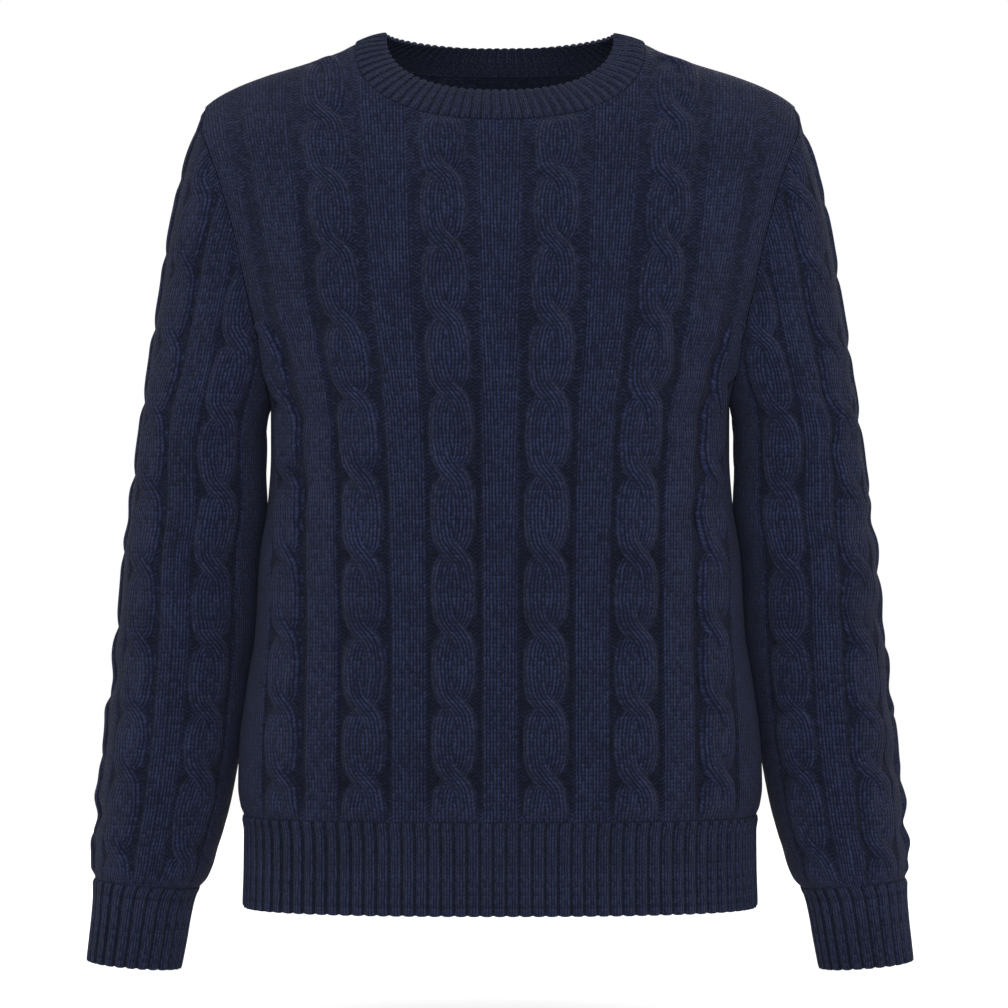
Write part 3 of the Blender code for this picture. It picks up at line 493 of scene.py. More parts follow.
def strands(offset, place):
    """The two strands of a cable round a crossing at place 0: heights 0 to 1, and columns.

    The strand that comes down from the left passes in front to the right."""
    beside = np.minimum(np.abs(place), 0.5)
    quick = np.sin(np.pi / 2 * np.minimum(beside / CROSSED, 1.0))
    swing = np.sign(place) * (QUICK_SWING * quick + (1 - QUICK_SWING) * np.sin(np.pi * beside))
    lean = np.exp(-(place / LEANING) ** 2)
    front_part = (offset + STRAND_OFFSET * swing) / (STRAND_HALF + FRONT_SWELL * lean)
    back_part = (offset - STRAND_OFFSET * swing) / (STRAND_HALF + BACK_SWELL * lean)
    front = oval(front_part, STRAND_ROUNDNESS) * (1 + FRONT_LIFT * lean)
    back = oval(back_part, STRAND_ROUNDNESS) * (1 - BACK_DIP * np.exp(-(place / DIPPING) ** 2))
    merged = eased((beside - MERGE_FROM) / MERGE_OVER)
    whole = CABLE_TOP * oval(offset / CABLE_HALF, CABLE_ROUNDNESS) * merged
    columns = [STRAND_COLUMNS / 2 * (1 + part) for part in (front_part, back_part)]
    return np.maximum(np.maximum(front, back), whole), front >= back, *columns


class CableKnitting:
    """Where the cables of one kind of piece lie, and what each point of it shows."""

    def __init__(self, cables, crossings, widening, cable_rise, gutter_edge):
        self.centres, self.tops, self.left_ends, self.right_ends = [np.array(part) for part in zip(*cables)]
        self.count = crossing_count(crossings)
        self.widening = widening
        self.cable_rise = cable_rise
        self.gutter_edge = gutter_edge

    def read(self, across, up):
        """Offset from the nearest cable, place in its repeat, in-cable and in-gutter flags."""
        nearest = np.argmin(np.abs(across[..., None] - self.centres), axis=-1)
        offset = across - self.centres[nearest]
        phase = self.count(up + 1.5 * np.sin(nearest * 2.1))
        cabled = up < self.tops[nearest]
        ended = np.where(offset < 0, self.left_ends[nearest], self.right_ends[nearest])
        return offset, phase - np.round(phase), cabled, cabled | ~ended

    def rise(self, across, up):
        """Height of the relief over the plain knitting."""
        offset, place, cabled, sunk = self.read(across, up)
        height = strands(offset * self.widening(up), place)[0] * cabled
        beside = np.abs(offset)
        gutter = (eased((self.gutter_edge + 1.0 - beside) / 3.0)
                  * eased((beside - GUTTER_INNER) / 4.0 + 1.0 * cabled))
        # where the knitting is stretched sideways the sunk lines open out and lie flatter
        sink = -GUTTER_SINK * gutter * sunk * (1 - 2.8 * (self.widening(up) - 1))
        return sink + (self.cable_rise - sink) * height

    def stitches(self, across, up, rows):
        """Stitch map corners (column, row) and the reverse side's share, per triangle."""
        middle_across, middle_up = across.mean(axis=1), up.mean(axis=1)
        offset, place, cabled, sunk = self.read(middle_across, middle_up)
        height, in_front = strands(offset * self.widening(middle_up), place)[:2]
        in_cable = cabled & (height > 0.02)
        beside = np.abs(offset)
        reverse = sunk & ~in_cable & (beside < self.gutter_edge) & (beside > GUTTER_INNER)
        corner_offset = (offset[:, None] + across - middle_across[:, None]) * self.widening(up)
        corner_place = place[:, None] + self.count(up) - self.count(middle_up)[:, None]
        strand_column = np.where(in_front[:, None], *strands(corner_offset, corner_place)[2:])
        column = np.where(in_cable[:, None], strand_column, corner_offset / COLUMN)
        return np.stack((column, rows / ROW), axis=-1), reverse.astype(float)


def distance_to(across, up, outline):
    """Distance of each point to the nearest of the outline's points."""
    tree = KDTree(len(outline[0]))
    for i, (a, b) in enumerate(zip(*outline)):
        tree.insert((a, b, 0.0), i)
    tree.balance()
    return np.array([tree.find((a, b, 0.0))[2] for a, b in zip(across, up)])


def triangulate(across, up, border):
    """Triangles, anticlockwise, over points whose first `border` ones are the outline."""
    flat = [Vector(point) for point in zip(across, up)]
    result = delaunay_2d_cdt(flat, [], [list(range(border))], 1, 1e-6)
    origin = result[3]
    return np.array([[origin[corner][0] for corner in face] for face in result[2]])


def knit_object(name, places, corners, stitches, reverse, level, material, node):
    """Make a knitted piece from points, triangles and its stitch map, in place of a node.

    `reverse` is 1 on triangles that show the reverse side, `level` 0 in the sunk lines, a
    half on plain knitting and 1 on the tops of cables and ribs."""
    data = bpy.data.meshes.new(name)
    data.from_pydata((places * MM).tolist(), [], corners.tolist())
    data.uv_layers.new(name="stitches").data.foreach_set("uv", stitches.reshape(-1))
    sides = np.zeros((len(corners), 3, 2))
    sides[:, :, 0] = reverse[:, None]
    # the level paints shade into the colour: darker in the sunk lines and on the inside, lighter on the
    # tops
    sides[:, :, 1] = level[corners]
    data.uv_layers.new(name="side").data.foreach_set("uv", sides.reshape(-1))
    work = bmesh.new()
    work.from_mesh(data)
    bmesh.ops.remove_doubles(work, verts=work.verts, dist=0.03 * MM)
    work.to_mesh(data)
    work.free()
    data.shade_smooth()
    data.set_sharp_from_angle(angle=math.radians(60))
    piece = bpy.data.objects.new(name, data)
    scene.collection.objects.link(piece)
    data.materials.append(material)
    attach(piece, "root")
    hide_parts(node)
    return piece


def laid_mesh(outline, grid, clearance, surface):
    """Triangles over the outline and the grid points clear of it, laid on the surface."""
    away = distance_to(*grid, outline)
    kept = away > clearance
    border = len(outline[0])
    across, up = [np.concatenate((edge, points[kept])) for edge, points in zip(outline, grid)]
    corners = triangulate(across, up, border)
    used = np.unique(corners)
    place, normal = np.zeros((len(across), 3)), np.zeros((len(across), 3))
    place[used], normal[used] = surface(across[used], up[used])
    return across, up, np.concatenate((np.zeros(border), away[kept])), corners, place, normal


def split_quads(quads):
    """Two triangles for each of the four-cornered faces, given as four lists of corners."""
    return np.concatenate([np.stack(half, axis=1) for a, b, c, d in quads
                           for half in ((a, b, c), (a, c, d))])


def knit_shell(name, outline, grid, surface, knitting, creases, rows_at, node, rim, cut=()):
    """A wall of cable knitting: fine relief outside, a plain reverse side inside.

    `rim` turns the directions along the outline, `cut` lists its points on a sewn seam."""
    border = len(outline[0])
    across, up, away, corners, place, normal = laid_mesh(outline, grid, 1.0, surface)
    fade = eased(away / RELIEF_FADE) * eased(0.35 + (up - up.min()) / RIBBING_FADE)
    folds = creases(across, up) * eased(away / CREASE_FADE)
    relief = knitting.rise(across, up) * fade
    outer = place + normal * (relief + folds)[:, None]
    # the level sets the painted shade: low in the sunk lines, high on the cable tops
    level = 0.5 + 0.5 * relief / np.where(relief < 0, GUTTER_SINK, BODY_CABLE_RISE)
    stitches, reverse = knitting.stitches(across[corners], up[corners], rows_at(across, up)[corners])

    # the inner side
    coarse = np.meshgrid(np.arange(-252, 253, INSIDE_STEP),
                         np.arange(up.min() + INSIDE_STEP, up.max(), INSIDE_STEP))
    across, up, _, inside, place, normal = laid_mesh(outline, [g.ravel() for g in coarse], 4.0, surface)
    normal[:border] = rim(normal[:border])
    folds = creases(across, up)
    folds[:border] = 0.0
    inner = place + normal * (folds - WALL)[:, None]
    shift = len(outer)
    inside = inside[:, ::-1] + shift
    plain_map = np.stack((across / COLUMN, rows_at(across, up) / ROW), axis=-1)
    both = np.concatenate((np.zeros((shift, 2)), plain_map))
    both[:border] = plain_map[:border]

    # the edges between them
    ring = np.arange(border)
    open_edges = ~np.isin(ring, list(cut))
    a, b = ring[open_edges], np.roll(ring, -1)[open_edges]
    rims = split_quads([(a, a + shift, b + shift, b)])
    maps = np.concatenate((stitches, both[inside], both[rims]))
    reverse = np.concatenate((reverse, np.ones(len(inside)), np.zeros(len(rims))))
    level = np.concatenate((level, np.full(len(inner), INSIDE_SHADE_LEVEL)))
    return knit_object(name, np.concatenate((outer, inner)), np.concatenate((corners, inside, rims)),
                       maps, reverse, level, navy_knit, node)


def level_rim(points, tilt=0.0):
    """Lays the rim's directions at its `points`, a hem or cuff seam, into the seam's plane."""
    plane = np.array((-tilt, 0.0, 1.0)) / math.hypot(tilt, 1.0)

    def rim(normals):
        level = unit(normals - plane * (normals @ plane)[:, None])
        return np.where(points[:, None], level, normals)

    return rim


def shoulder_rows(face):
    """Length of knitting up to a height, measured along the cloth over the shoulder."""
    reach = 200.0
    columns = np.linspace(0.0, reach, 41)
    parts = np.linspace(0.0, 1.0, 61)
    tops = RIDGE(columns * RIDGE_SPREAD)
    turned = np.sin(parts * np.pi / 2) ** (2 / RIDGE_ROUNDNESS)
    heights = RIDGE_BASE + (tops - RIDGE_BASE)[:, None] * turned
    places = body_places(np.repeat(columns, len(parts)), heights.ravel(), face)
    places = places.reshape(len(columns), len(parts), 3)
    lengths = np.zeros((len(columns), len(parts)))
    lengths[:, 1:] = np.cumsum(np.linalg.norm(np.diff(places, axis=1), axis=2), axis=1)

    def rows_at(across, up):
        top = RIDGE(np.abs(across) * RIDGE_SPREAD)
        part = np.clip((up - RIDGE_BASE) / (top - RIDGE_BASE), 0.0, 1.0)
        turn = np.arcsin(part ** (RIDGE_ROUNDNESS / 2)) / (np.pi / 2) * (len(parts) - 1)
        column = np.clip(np.abs(across) / reach * (len(columns) - 1), 0, len(columns) - 1.001)
        i, j = column.astype(int), np.minimum(turn.astype(int), len(parts) - 2)
        s, t = column - i, turn - j
        over = ((lengths[i, j] * (1 - s) + lengths[i + 1, j] * s) * (1 - t)
                + (lengths[i, j + 1] * (1 - s) + lengths[i + 1, j + 1] * s) * t)
        return np.where(up > RIDGE_BASE, RIDGE_BASE + over, up)

    return rows_at


# Creases, placed one by one: from across and up to across and up, half width, depth
FRONT_CREASES = (
    (158, -262, 96, -212, 9, 2.6),
    (160, -292, 104, -300, 8, 1.8),
    (-160, -258, -92, -218, 10, 2.4),
    (-162, -300, -110, -318, 8, 2),
    (190, -352, 128, -376, 10, 2.2),
    (-192, -346, -130, -364, 10, 2),
    (60, -586, 150, -576, 8, 1.6),
    (-170, -582, -70, -588, 8, 1.8),
)
BACK_CREASES = (
    (150, -252, 88, -206, 10, 2.4),
    (-152, -258, -84, -214, 9, 2.6),
    (170, -318, 96, -340, 10, 2.2),
    (-172, -306, -104, -322, 9, 2),
    (-140, -420, 20, -452, 13, 2.4),
    (30, -488, 160, -466, 12, 2),
    (-60, -578, 90, -584, 9, 1.8),
)


def creases_of(table):
    """Soft uneven troughs, each deepest in its middle and with a low ridge on both sides."""

    def depth_at(across, up):
        total = np.zeros_like(across)
        for x0, z0, x1, z1, half_width, depth in table:
            run = np.array((x1 - x0, z1 - z0))
            length = np.hypot(*run)
            t = ((across - x0) * run[0] + (up - z0) * run[1]) / length ** 2
            bend = 0.10 * length * np.sin(np.pi * np.clip(t, 0, 1))
            aside = ((up - z0) * run[0] - (across - x0) * run[1]) / length - bend
            ends = eased(1.2 - np.abs(t - 0.45) * 1.9)
            trough = np.exp(-(aside / half_width) ** 2)
            ridge = 0.55 * np.exp(-((np.abs(aside) - 1.9 * half_width) / half_width) ** 2)
            total += depth * ends * (ridge - trough)
        return total

    return depth_at


def kept_width(up):
    """The cables keep their width where the rest of the knitting is stretched sideways."""
    return BODY["spread"](up) ** 0.9


body_knitting = CableKnitting(BODY_CABLES, BODY_CROSSINGS, kept_width, BODY_CABLE_RISE, BODY_GUTTER_EDGE)
for face, table in (("front", FRONT_CREASES), ("back", BACK_CREASES)):
    outline = panel_outline(face)
    panel = knit_shell(face + "_panel", outline, panel_grid(), body_surface(face), body_knitting,
                       creases_of(table), shoulder_rows(face), face, level_rim(outline[1] < SEAM_HEM + 1.0))

# ---- The sleeves ----
# Each is knitted flat, sewn up under the arm and set into the armhole.  Five narrower
# spaced cables run down it, and the underarm is plain.  The elbow bends a little.
SLEEVE_COLUMNS = ("height", "outer", "inner", "half_depth", "behind", "turned")
SLEEVE_SECTIONS = (
    (-57, 226.5, 177, 61, 0, 0),
    (-66, 226.8, 177, 61, 0, 1),
    (-75, 229.5, 177, 61, 0, 2),
    (-87, 235.2, 177, 61, 0, 3),
    (-98.6, 239.5, 177, 61, 0, 4),
    (-121.7, 245.4, 177, 61, 0, 6),
    (-144.8, 250.8, 177, 61, 0, 8),
    (-168, 255.2, 177, 61, 0, 10),
    (-198, 259.6, 177, 60.8, 0, 12),
    (-237, 266.4, 177, 59.5, 0, 15),
    (-260, 269.6, 177, 58, 0, 16),
    (-288, 273.8, 176.8, 56.5, 0, 17),
    (-300, 275.6, 179, 56, 1, 17),
    (-314, 277.6, 180.4, 55, 3, 17),
    (-340, 281.2, 180.4, 54, 8, 16),
    (-365, 284.6, 179.6, 54, 13, 15),
    (-405, 290, 185.4, 54, 20, 14),
    (-460, 295, 187.9, 55, 26, 12),
    (-500, 299.5, 193.6, 56, 28, 9),
    (-550, 305, 200.6, 57.5, 26, 6.5),
    (-572, 307.5, 204.3, 58, 24, 6),
    (-595, 310, 208.8, 57.5, 22, 5.5),
    (-618, 311.8, 214.8, 56, 20, 5),
    (-630, 312.8, 218.7, 54, 19, 5),
    (-641, 313.2, 221.6, 51, 18, 5),
    (-653, 312.8, 226.8, 46, 17, 5),
    (-664, 312.6, 236.4, 42, 16, 5),
    (-680, 313.6, 240.6, 39.5, 15, 5),
    (-700, 315.6, 244, 38.5, 13, 5),
    (-726, 318.4, 249, 38, 11, 5),
)
SLEEVE_SQUARENESS = 2.2
SLEEVE_HALF_ROUND = 165.0
CUFF_SEAM = -655.8
CUFF_END = -719.0
CUFF_TILT = 0.088  # the inner side is this much lower for each mm inwards
SLEEVE_MIDDLE = 271.0
SLEEVE_CROSSINGS = (-629.0, -568.5, -521.0, -467.5, -410.5, -350.5, -294.0, -237.5, -181.0, -125.0, -70.0)
SLEEVE_CABLES = [(step * 57.5, 0.0, False, False) for step in range(-2, 3)]
SLEEVE = table_curves(SLEEVE_COLUMNS, SLEEVE_SECTIONS)


def sleeve_rounds(heights, quarter=60):
    """For each height, points round half the sleeve: way from its outer side, x and depth."""
    outer, inner = SLEEVE["outer"](heights), SLEEVE["inner"](heights)
    half, middle = SLEEVE["half_depth"](heights), (outer + inner) / 2
    reach = middle - inner
    half_width = BODY["half_width"](heights)
    seam = armhole_depth(heights) * shoulder_rounding(half_width, heights)
    start = half_width + UNDERARM_ROOM
    head = heights >= ARMHOLE_WIDEST
    joined = (heights > UNDERARM) & ~head
    half = np.where(head, seam, np.where(joined, np.maximum(half, seam * 1.002), half))
    part = np.clip((ARMHOLE_WIDEST - heights) / (ARMHOLE_WIDEST - UNDERARM), 0.0, 1.0)
    middle = np.where(head, start, np.where(joined, start + (middle - start) * part ** 1.5, middle))
    closing = np.where(half > 0, seam / np.maximum(half, 1e-9), 1.0)
    cut = np.maximum(1 - closing ** SLEEVE_SQUARENESS, 1e-9) ** (1 / SLEEVE_SQUARENESS)
    reach = np.where(head, 0.0, np.where(joined, (middle - start) / cut, reach))
    power = 2 / SLEEVE_SQUARENESS
    last = np.where(seam > 0, np.arcsin(np.minimum(closing ** (1 / power), 1.0)), 0.0)
    first_angles = np.linspace(0.0, np.pi / 2, quarter + 1)
    steps = np.arange(1, quarter + 1) / quarter
    second_angles = np.pi / 2 + (last[:, None] - np.pi / 2) * steps
    x = np.concatenate((middle[:, None] + (outer - middle)[:, None]
                        * np.maximum(np.cos(first_angles), 0.0) ** power,
                        middle[:, None] - reach[:, None]
                        * np.maximum(np.cos(second_angles), 0.0) ** power), axis=1)
    y = half[:, None] * np.concatenate((np.repeat(np.sin(first_angles)[None] ** power, len(half), axis=0),
                                        np.maximum(np.sin(second_angles), 0.0) ** power), axis=1)
    way = np.zeros_like(x)
    way[:, 1:] = np.cumsum(np.hypot(np.diff(x), np.diff(y)), axis=1)
    return way, x, y


HALF_ROUND = smooth_curve([(h, sleeve_rounds(np.array([h]))[0][0, -1])
                           for h in np.arange(-728.0, UNDERARM + 1.0, 4.0)])


def sleeve_spread(heights):
    return HALF_ROUND(np.minimum(heights, UNDERARM)) / SLEEVE_HALF_ROUND


def sleeve_across(way, heights):
    """Knitting coordinate of a way round the sleeve, + to the front, - to the back."""
    return (way + SLEEVE["turned"](heights)) / sleeve_spread(heights)


def half_round_across(heights, end):
    """Knitting coordinate of the sleeve's inner side, on its front (1) or back (-1) end."""
    ways = np.concatenate([sleeve_rounds(np.array([height]))[0][:, -1] for height in heights])
    return sleeve_across(end * ways, heights)


def sleeve_places(across, up):
    """Points of the wearer's left sleeve (+X); `across` grows towards its front."""
    heights, row = rows_of(up)
    ways, x, y = sleeve_rounds(heights)
    whole = ways[row, -1]
    way = across * sleeve_spread(up) - SLEEVE["turned"](up)
    over = (up <= UNDERARM) & (np.abs(way) > whole)
    way = np.where(over, way - np.copysign(2 * whole, way), way)
    x, y = read_rows(ways, row, np.minimum(np.abs(way), whole), (x, y))
    return np.stack((x, SLEEVE["behind"](up) - np.copysign(y, way), up), axis=1), way, whole


def sleeve_surface(side):
    """Places and outward directions on a sleeve for coordinates seen from outside."""
    turn = -1 if side == "left" else 1

    def surface(across, up):
        front = turn * across
        here, way, whole = sleeve_places(front, up)
        raw_way = front * sleeve_spread(up) - SLEEVE["turned"](up)
        beside = sleeve_places(front - np.copysign(PROBE, raw_way), up)[0]
        below = sleeve_places(front, up - PROBE)[0]
        normal = np.cross(here - below, (here - beside) * np.copysign(1.0, raw_way)[:, None])
        sewn = np.abs(raw_way) > whole - 0.05
        if sewn.any():
            under = SLEEVE["inner"](up[sewn] - PROBE)
            normal[sewn] = np.stack((np.full(sewn.sum(), -PROBE), np.zeros(sewn.sum()),
                                     here[sewn, 0] - under), axis=1)
        normal /= np.maximum(np.linalg.norm(normal, axis=1), 1e-9)[:, None]
        if side == "right":
            here, normal = here * (-1, 1, 1), normal * (-1, 1, 1)
        return here, normal

    return surface


def inner_level(level):
    """Height at which the cuff's tilted plane meets the sleeve's inner side."""
    height = level
    for _ in range(6):
        height = level + CUFF_TILT * (SLEEVE["inner"](height) - SLEEVE_MIDDLE)
    return float(height)


def cuff_levels(across, level):
    """Heights at which the tilted plane through `level` cuts the sleeve's stitch columns."""
    heights = np.full(len(across), float(level))
    for _ in range(6):
        heights = level + CUFF_TILT * (sleeve_places(across, heights)[0][:, 0] - SLEEVE_MIDDLE)
    return heights


def sleeve_outline():
    """The sleeve laid out flat, front to the right, and the edges sewn to each other."""
    bottom = CUFF_SEAM + SEAM_GAP / 2
    low = np.array([inner_level(bottom)])
    back, front = half_round_across(low, -1)[0], half_round_across(low, 1)[0]
    hem = np.linspace(back, front, 160)[1:-1]
    seam = np.linspace(low[0], UNDERARM, 160)[1:-1]
    head = armhole_heights(110)
    across = [[back], hem, [front], half_round_across(seam, 1), half_round_across(head, 1),
              half_round_across(head[-2::-1], -1), half_round_across(seam[::-1], -1)]
    up = [low, cuff_levels(hem, bottom), low, seam, head, head[-2::-1], seam[::-1]]
    first = len(hem) + 1
    last = first + 2 * len(head) + len(seam) - 1
    cut = list(range(first, first + len(seam) + 1)) + list(range(last, last + len(seam) + 1))
    return np.concatenate(across), np.concatenate(up), cut


SLEEVE_CREASES = (
    (-96, -300, -6, -262, 9, 2.4),
    (-104, -338, -22, -322, 9, 2.2),
    (-80, -402, 34, -378, 10, 2.4),
    (-104, -446, 4, -462, 10, 2.6),
    (-30, -520, 74, -494, 11, 2.2),
    (-96, -560, 0, -574, 10, 2.6),
    (-36, -622, 66, -606, 8, 2.6),
    (-110, -632, -48, -618, 8, 2.4),
    (84, -432, 140, -448, 9, 2.4),
    (72, -596, 138, -614, 9, 2.4),
)
SLEEVE_CABLE_RISE = 3.3
SLEEVE_GUTTER_EDGE = 18.4
SLEEVE_TIGHTNESS = 1.06
SLEEVE_STEP = 1.7


def sleeve_width(up):
    """The cables on the sleeves are knitted a little tighter than those on the body."""
    return np.full_like(up, SLEEVE_TIGHTNESS)


sleeve_knitting = CableKnitting(SLEEVE_CABLES, SLEEVE_CROSSINGS, sleeve_width, SLEEVE_CABLE_RISE,
                                SLEEVE_GUTTER_EDGE)
columns = np.arange(-176.0, 196.0, SLEEVE_STEP)
levels = np.concatenate((np.arange(-664.0, -66.0, GRID_STEP), np.arange(-65.5, -57.0, 0.8)))
for side in ("left", "right"):
    across, up, cut = sleeve_outline()
    grid = [g.ravel() for g in np.meshgrid(columns, levels)]
    if side == "left":
        across, up = -across[::-1], up[::-1]
        cut = [(len(up) - 2 - i) % len(up) for i in cut]
        grid[0] = -grid[0]
    rim = level_rim(up < CUFF_SEAM + 10.0, CUFF_TILT * (1 if side == "left" else -1))
    piece = knit_shell("knit_sleeve_" + side, (across, up), grid, sleeve_surface(side), sleeve_knitting,
                       creases_of(SLEEVE_CREASES), lambda across, up: up, "sleeve_" + side, rim, cut)

# ---- The ribbing at the hem ----
# Two by one ribbing, joined to the panels and drawn in a little: each rib is two plain
# columns wide, and the reverse column between sinks out of sight.
RIB_WALL = 2.2
COLUMNS_A_REPEAT = 2.4  # two plain columns and the sunk reverse one
RIB_SHARE = 0.84  # of a repeat; the rest is the groove
GROOVE_DEPTH = 0.9
EDGE_ROWS = 1.6  # the cast-off edge rounds over in so many rows of the mesh
JOINED_RISE = 0.3  # the joined edge is this far into such a rounding
EDGE_SCALLOP = 0.9  # the cast-off stitches of each rib stand out of the edge
POINTS_A_RIB = 11
HEM_RIBS, HEM_RIB_RISE = 51, 2.4
CORNER_LIFT, CORNER_REACH, LIFT_FADE = 5.0, 34.0, 22.0  # the edge draws up at the side seams


def rib_profile(part):
    """Rise of a rib, 0 to 1, across one repeat that begins and ends in its groove."""
    return np.maximum(0.0, 1 - np.abs((2 * part - 1) / RIB_SHARE) ** 2.4) ** 0.6


def ribbed_piece(name, rows, ribs, rise, closed, free, node, row_length):
    """A ribbed band.  `rows` holds (places, directions), seen from outside from left to right,
    from the lowest row to the highest; the cast-off edge is row `free`, 0 or -1."""
    count = len(rows[0][0])
    around = count if closed else count - 1
    part = np.arange(count) / around * ribs
    profile = rib_profile(part % 1.0)
    out_of_edge = unit(rows[free][0] - rows[3 if free == 0 else -4][0])
    for i in ((0, 1) if free == 0 else (-1, -2)):
        rows[i] = (rows[i][0] + out_of_edge * (EDGE_SCALLOP * profile)[:, None], rows[i][1])
    # the cast-off edge rounds over the wall, the joined edge draws in only a little
    from_free = np.arange(len(rows)) if free == 0 else np.arange(len(rows))[::-1]
    from_joined = from_free[::-1] + JOINED_RISE
    edge = np.minimum(np.minimum(from_free, from_joined) / EDGE_ROWS, 1.0)
    roundness = np.sqrt(1 - (1 - edge) ** 2)
    outer = [place + normal * ((profile * rise + GROOVE_DEPTH)[:, None] * roundness[i] - GROOVE_DEPTH)
             for i, (place, normal) in enumerate(rows)]
    # inside, the reverse columns stand out where the grooves are outside
    inner = [place - normal * (RIB_WALL + GROOVE_DEPTH * (1 - profile[:, None]) * roundness[i])
             for i, (place, normal) in enumerate(rows)]
    shift = count * len(rows)
    i, j = [g.ravel() for g in np.meshgrid(np.arange(around), np.arange(len(rows) - 1))]
    a, b = j * count + i, j * count + (i + 1) % count
    c, d = b + count, a + count
    k = np.arange(around)
    after = (k + 1) % count
    top = shift - count
    # the outside, the inside, the lower and the upper edge, and the two ends
    quads = [(a, b, c, d), (b + shift, a + shift, d + shift, c + shift),
             (k + shift, after + shift, after, k),
             (k + top, after + top, after + top + shift, k + top + shift)]
    if not closed:
        first = np.arange(len(rows) - 1) * count
        last = first + count - 1
        quads.append((first + shift, first, first + count, first + count + shift))
        quads.append((last, last + shift, last + count + shift, last + count))
    corners = split_quads(quads)
    # two stitch columns on each rib; the map starts afresh in every groove
    at = np.tile(part, 2 * len(rows))[corners]
    if closed:
        wrapped = at.max(axis=1) - at.min(axis=1) > ribs / 2
        at = np.where(wrapped[:, None] & (at < ribs / 2), at + ribs, at)
    from_middle = at - np.floor(at.mean(axis=1))[:, None] - 0.5
    in_groove = np.abs(from_middle.mean(axis=1)) > 0.40
    height = np.tile(np.repeat(row_length, count), 2)[corners]
    maps = np.stack((from_middle * COLUMNS_A_REPEAT + 1.0, height / ROW), axis=-1)
    # painted shade: the colour is darker in the grooves and on the inside, lighter on the ribs' tops
    level = np.concatenate((np.tile(profile, len(rows)), np.tile(0.35 * (1 - profile), len(rows))))
    return knit_object(name, np.concatenate(outer + inner), corners, maps, in_groove.astype(float), level,
                       navy_rib, node)


def band_levels(lowest, highest, count):
    """Heights of a band's rows, closer together where its cast-off edge rounds over."""
    return np.concatenate(([lowest - 0.1, lowest + 0.5], np.linspace(lowest + 1.8, highest - 0.2, count)))


levels = band_levels(HEM, SEAM_HEM, 26)
for face in ("front", "back"):
    surface = body_surface(face)
    rows = []
    for level in levels:
        edge = body_edge(np.array([level]), face)[0]
        across = np.linspace(-edge, edge, HEM_RIBS * POINTS_A_RIB + 1)
        from_edge = np.minimum((edge - np.abs(across)) / CORNER_REACH, 1.0)
        lift = CORNER_LIFT * (1 - from_edge) ** 2 * eased((HEM + LIFT_FADE - level) / LIFT_FADE)
        rows.append(surface(across, level + lift))
    piece = ribbed_piece("hem_ribbing_" + face, rows, HEM_RIBS, HEM_RIB_RISE, False, 0,
                         "hem_rib_" + face, levels)

# ---- The cuffs ----
# The same ribbing in the round, drawn in at the wrist and folded nowhere.
CUFF_RIBS, CUFF_RIB_RISE = 26, 2.2
levels = band_levels(CUFF_END, CUFF_SEAM, 24)
for side in ("left", "right"):
    surface = sleeve_surface(side)
    turn = -1 if side == "left" else 1
    rows = []
    for level in levels:
        low = np.array([inner_level(level)])
        back, front = half_round_across(low, -1)[0], half_round_across(low, 1)[0]
        part = np.arange(CUFF_RIBS * POINTS_A_RIB) / (CUFF_RIBS * POINTS_A_RIB)
        across = back + (front - back) * (part if turn > 0 else 1 - part)
        rows.append(surface(turn * across, cuff_levels(across, level)))
    piece = ribbed_piece("cuff_ribbing_" + side, rows, CUFF_RIBS, CUFF_RIB_RISE, True, 0,
                         "cuff_" + side, levels)

# ---- The neck ----
# A crew-neck band of finer ribbing, picked up round the neck edge and cast off above.
NECK_EDGE_HALF = 88.0
NECK_EDGE_FRONT = (-62.0, -49.0)
NECK_EDGE_BACK = (57.0, -7.0)
NECK_EDGE_SIDE = -1.4
NECK_EDGE_ROUNDNESS = {"front": 2.4, "back": 1.8}
NECK_RIBS, NECK_RIB_RISE = 80, 1.6
POINTS_A_NECK_RIB = 8
NECK_BAND_HEIGHT = 24.0
NECK_BULGE = 4.8  # a quarter of it is how far the band swells out halfway up


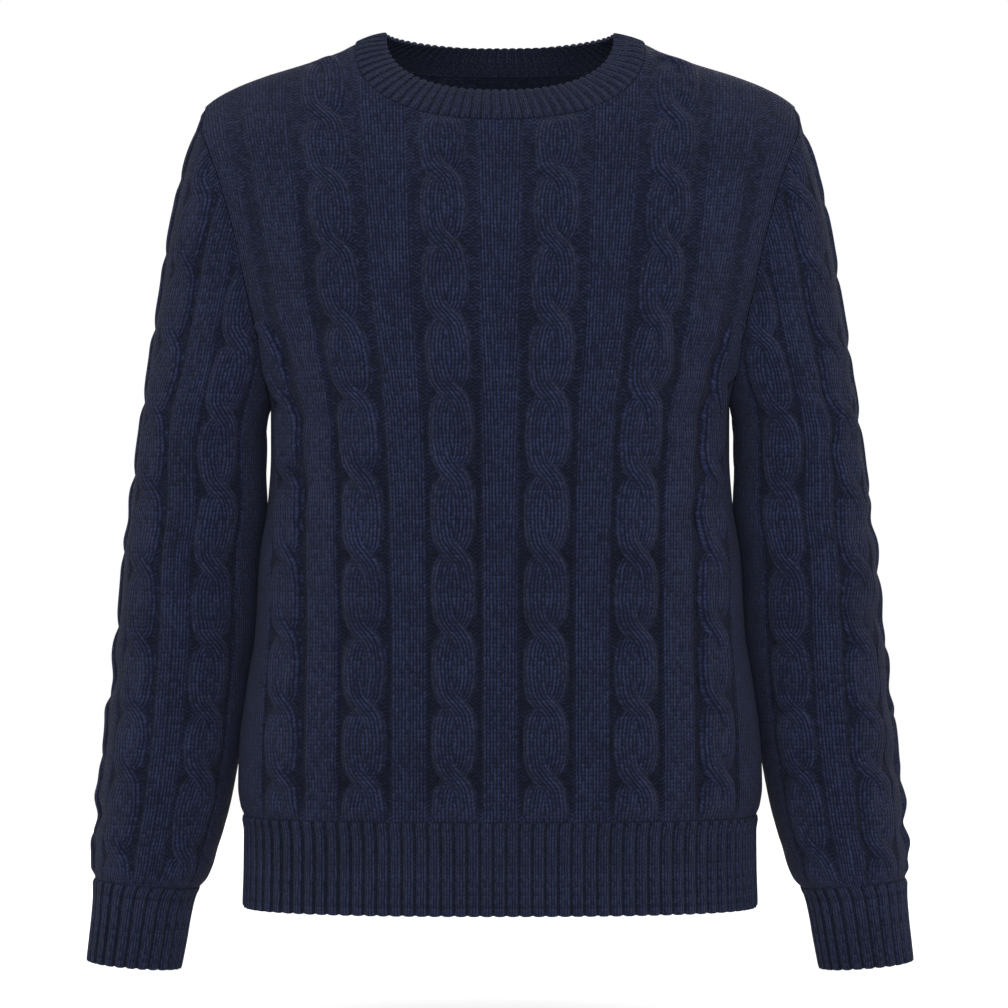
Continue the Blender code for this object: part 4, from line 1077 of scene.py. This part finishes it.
def neck_seam(turns):
    """Places and directions on the body's neck edge; turn 0 is the left shoulder, then front."""
    place, normal = np.zeros((len(turns), 3)), np.zeros((len(turns), 3))
    width = NECK_SEAM_HALF * np.minimum(np.abs(np.cos(turns)), 1.0) ** (2 / NECK_ROUNDNESS)
    for face, ahead in (("front", np.sin(turns) >= 0), ("back", np.sin(turns) < 0)):
        height = neck_seam_height(width[ahead], face)
        across = across_of_width(width[ahead], height, face)
        place[ahead], normal[ahead] = body_surface(face)(across if face == "front" else -across, height)
    mirrored = np.cos(turns) < 0
    place[mirrored, 0] *= -1
    normal[mirrored, 0] *= -1
    return place, normal


def neck_edge(turns):
    """Places on the upper edge of the neck band."""
    ahead = np.sin(turns) >= 0
    depth = np.where(ahead, NECK_EDGE_FRONT[0], NECK_EDGE_BACK[0])
    drop = np.where(ahead, NECK_EDGE_FRONT[1], NECK_EDGE_BACK[1])
    power = np.where(ahead, 2 / NECK_EDGE_ROUNDNESS["front"], 2 / NECK_EDGE_ROUNDNESS["back"])
    along, deep = np.abs(np.cos(turns)) ** power, np.abs(np.sin(turns)) ** power
    return np.stack((np.copysign(NECK_EDGE_HALF * along, np.cos(turns)), depth * deep,
                     NECK_EDGE_SIDE + drop * deep), axis=1)


def even_turns(places_at, count):
    """Turns at even distances round a closed line."""
    turns = np.linspace(0, 2 * np.pi, 1441)
    places = places_at(turns)
    way = np.concatenate(([0.0], np.cumsum(np.linalg.norm(np.diff(places, axis=0), axis=1))))
    return np.interp(way[-1] * np.arange(count) / count, way, turns)


def along(places):
    """Directions along a closed line, at each of its points."""
    return np.roll(places, 1, axis=0) - np.roll(places, -1, axis=0)


band_count = NECK_RIBS * POINTS_A_NECK_RIB
seam_turns = even_turns(lambda turns: neck_seam(turns)[0], band_count)[::-1]
seam_place, seam_normal = neck_seam(seam_turns)
edge_place = neck_edge(even_turns(neck_edge, band_count)[::-1])
reach = edge_place - seam_place
edge_normal = unit(np.cross(reach, along(edge_place)))
seam_run = unit(along(seam_place))
away = unit(reach - seam_run * np.sum(reach * seam_run, axis=1)[:, None])
shares = np.concatenate((np.linspace(0.0, 0.94, 13), [0.985, 1.0]))
rows = []
for share in shares:
    start = seam_place + away * NECK_SEAM_ROOM * (1 - share)
    place = start + reach * share + edge_normal * (NECK_BULGE * share * (1 - share))
    direction = seam_normal * (1 - share) ** 2 + edge_normal * (1 - (1 - share) ** 2)
    rows.append((place, unit(direction)))
band = ribbed_piece("neck_band", rows, NECK_RIBS, NECK_RIB_RISE, True, -1, "neck_rib",
                    NECK_BAND_HEIGHT * shares)
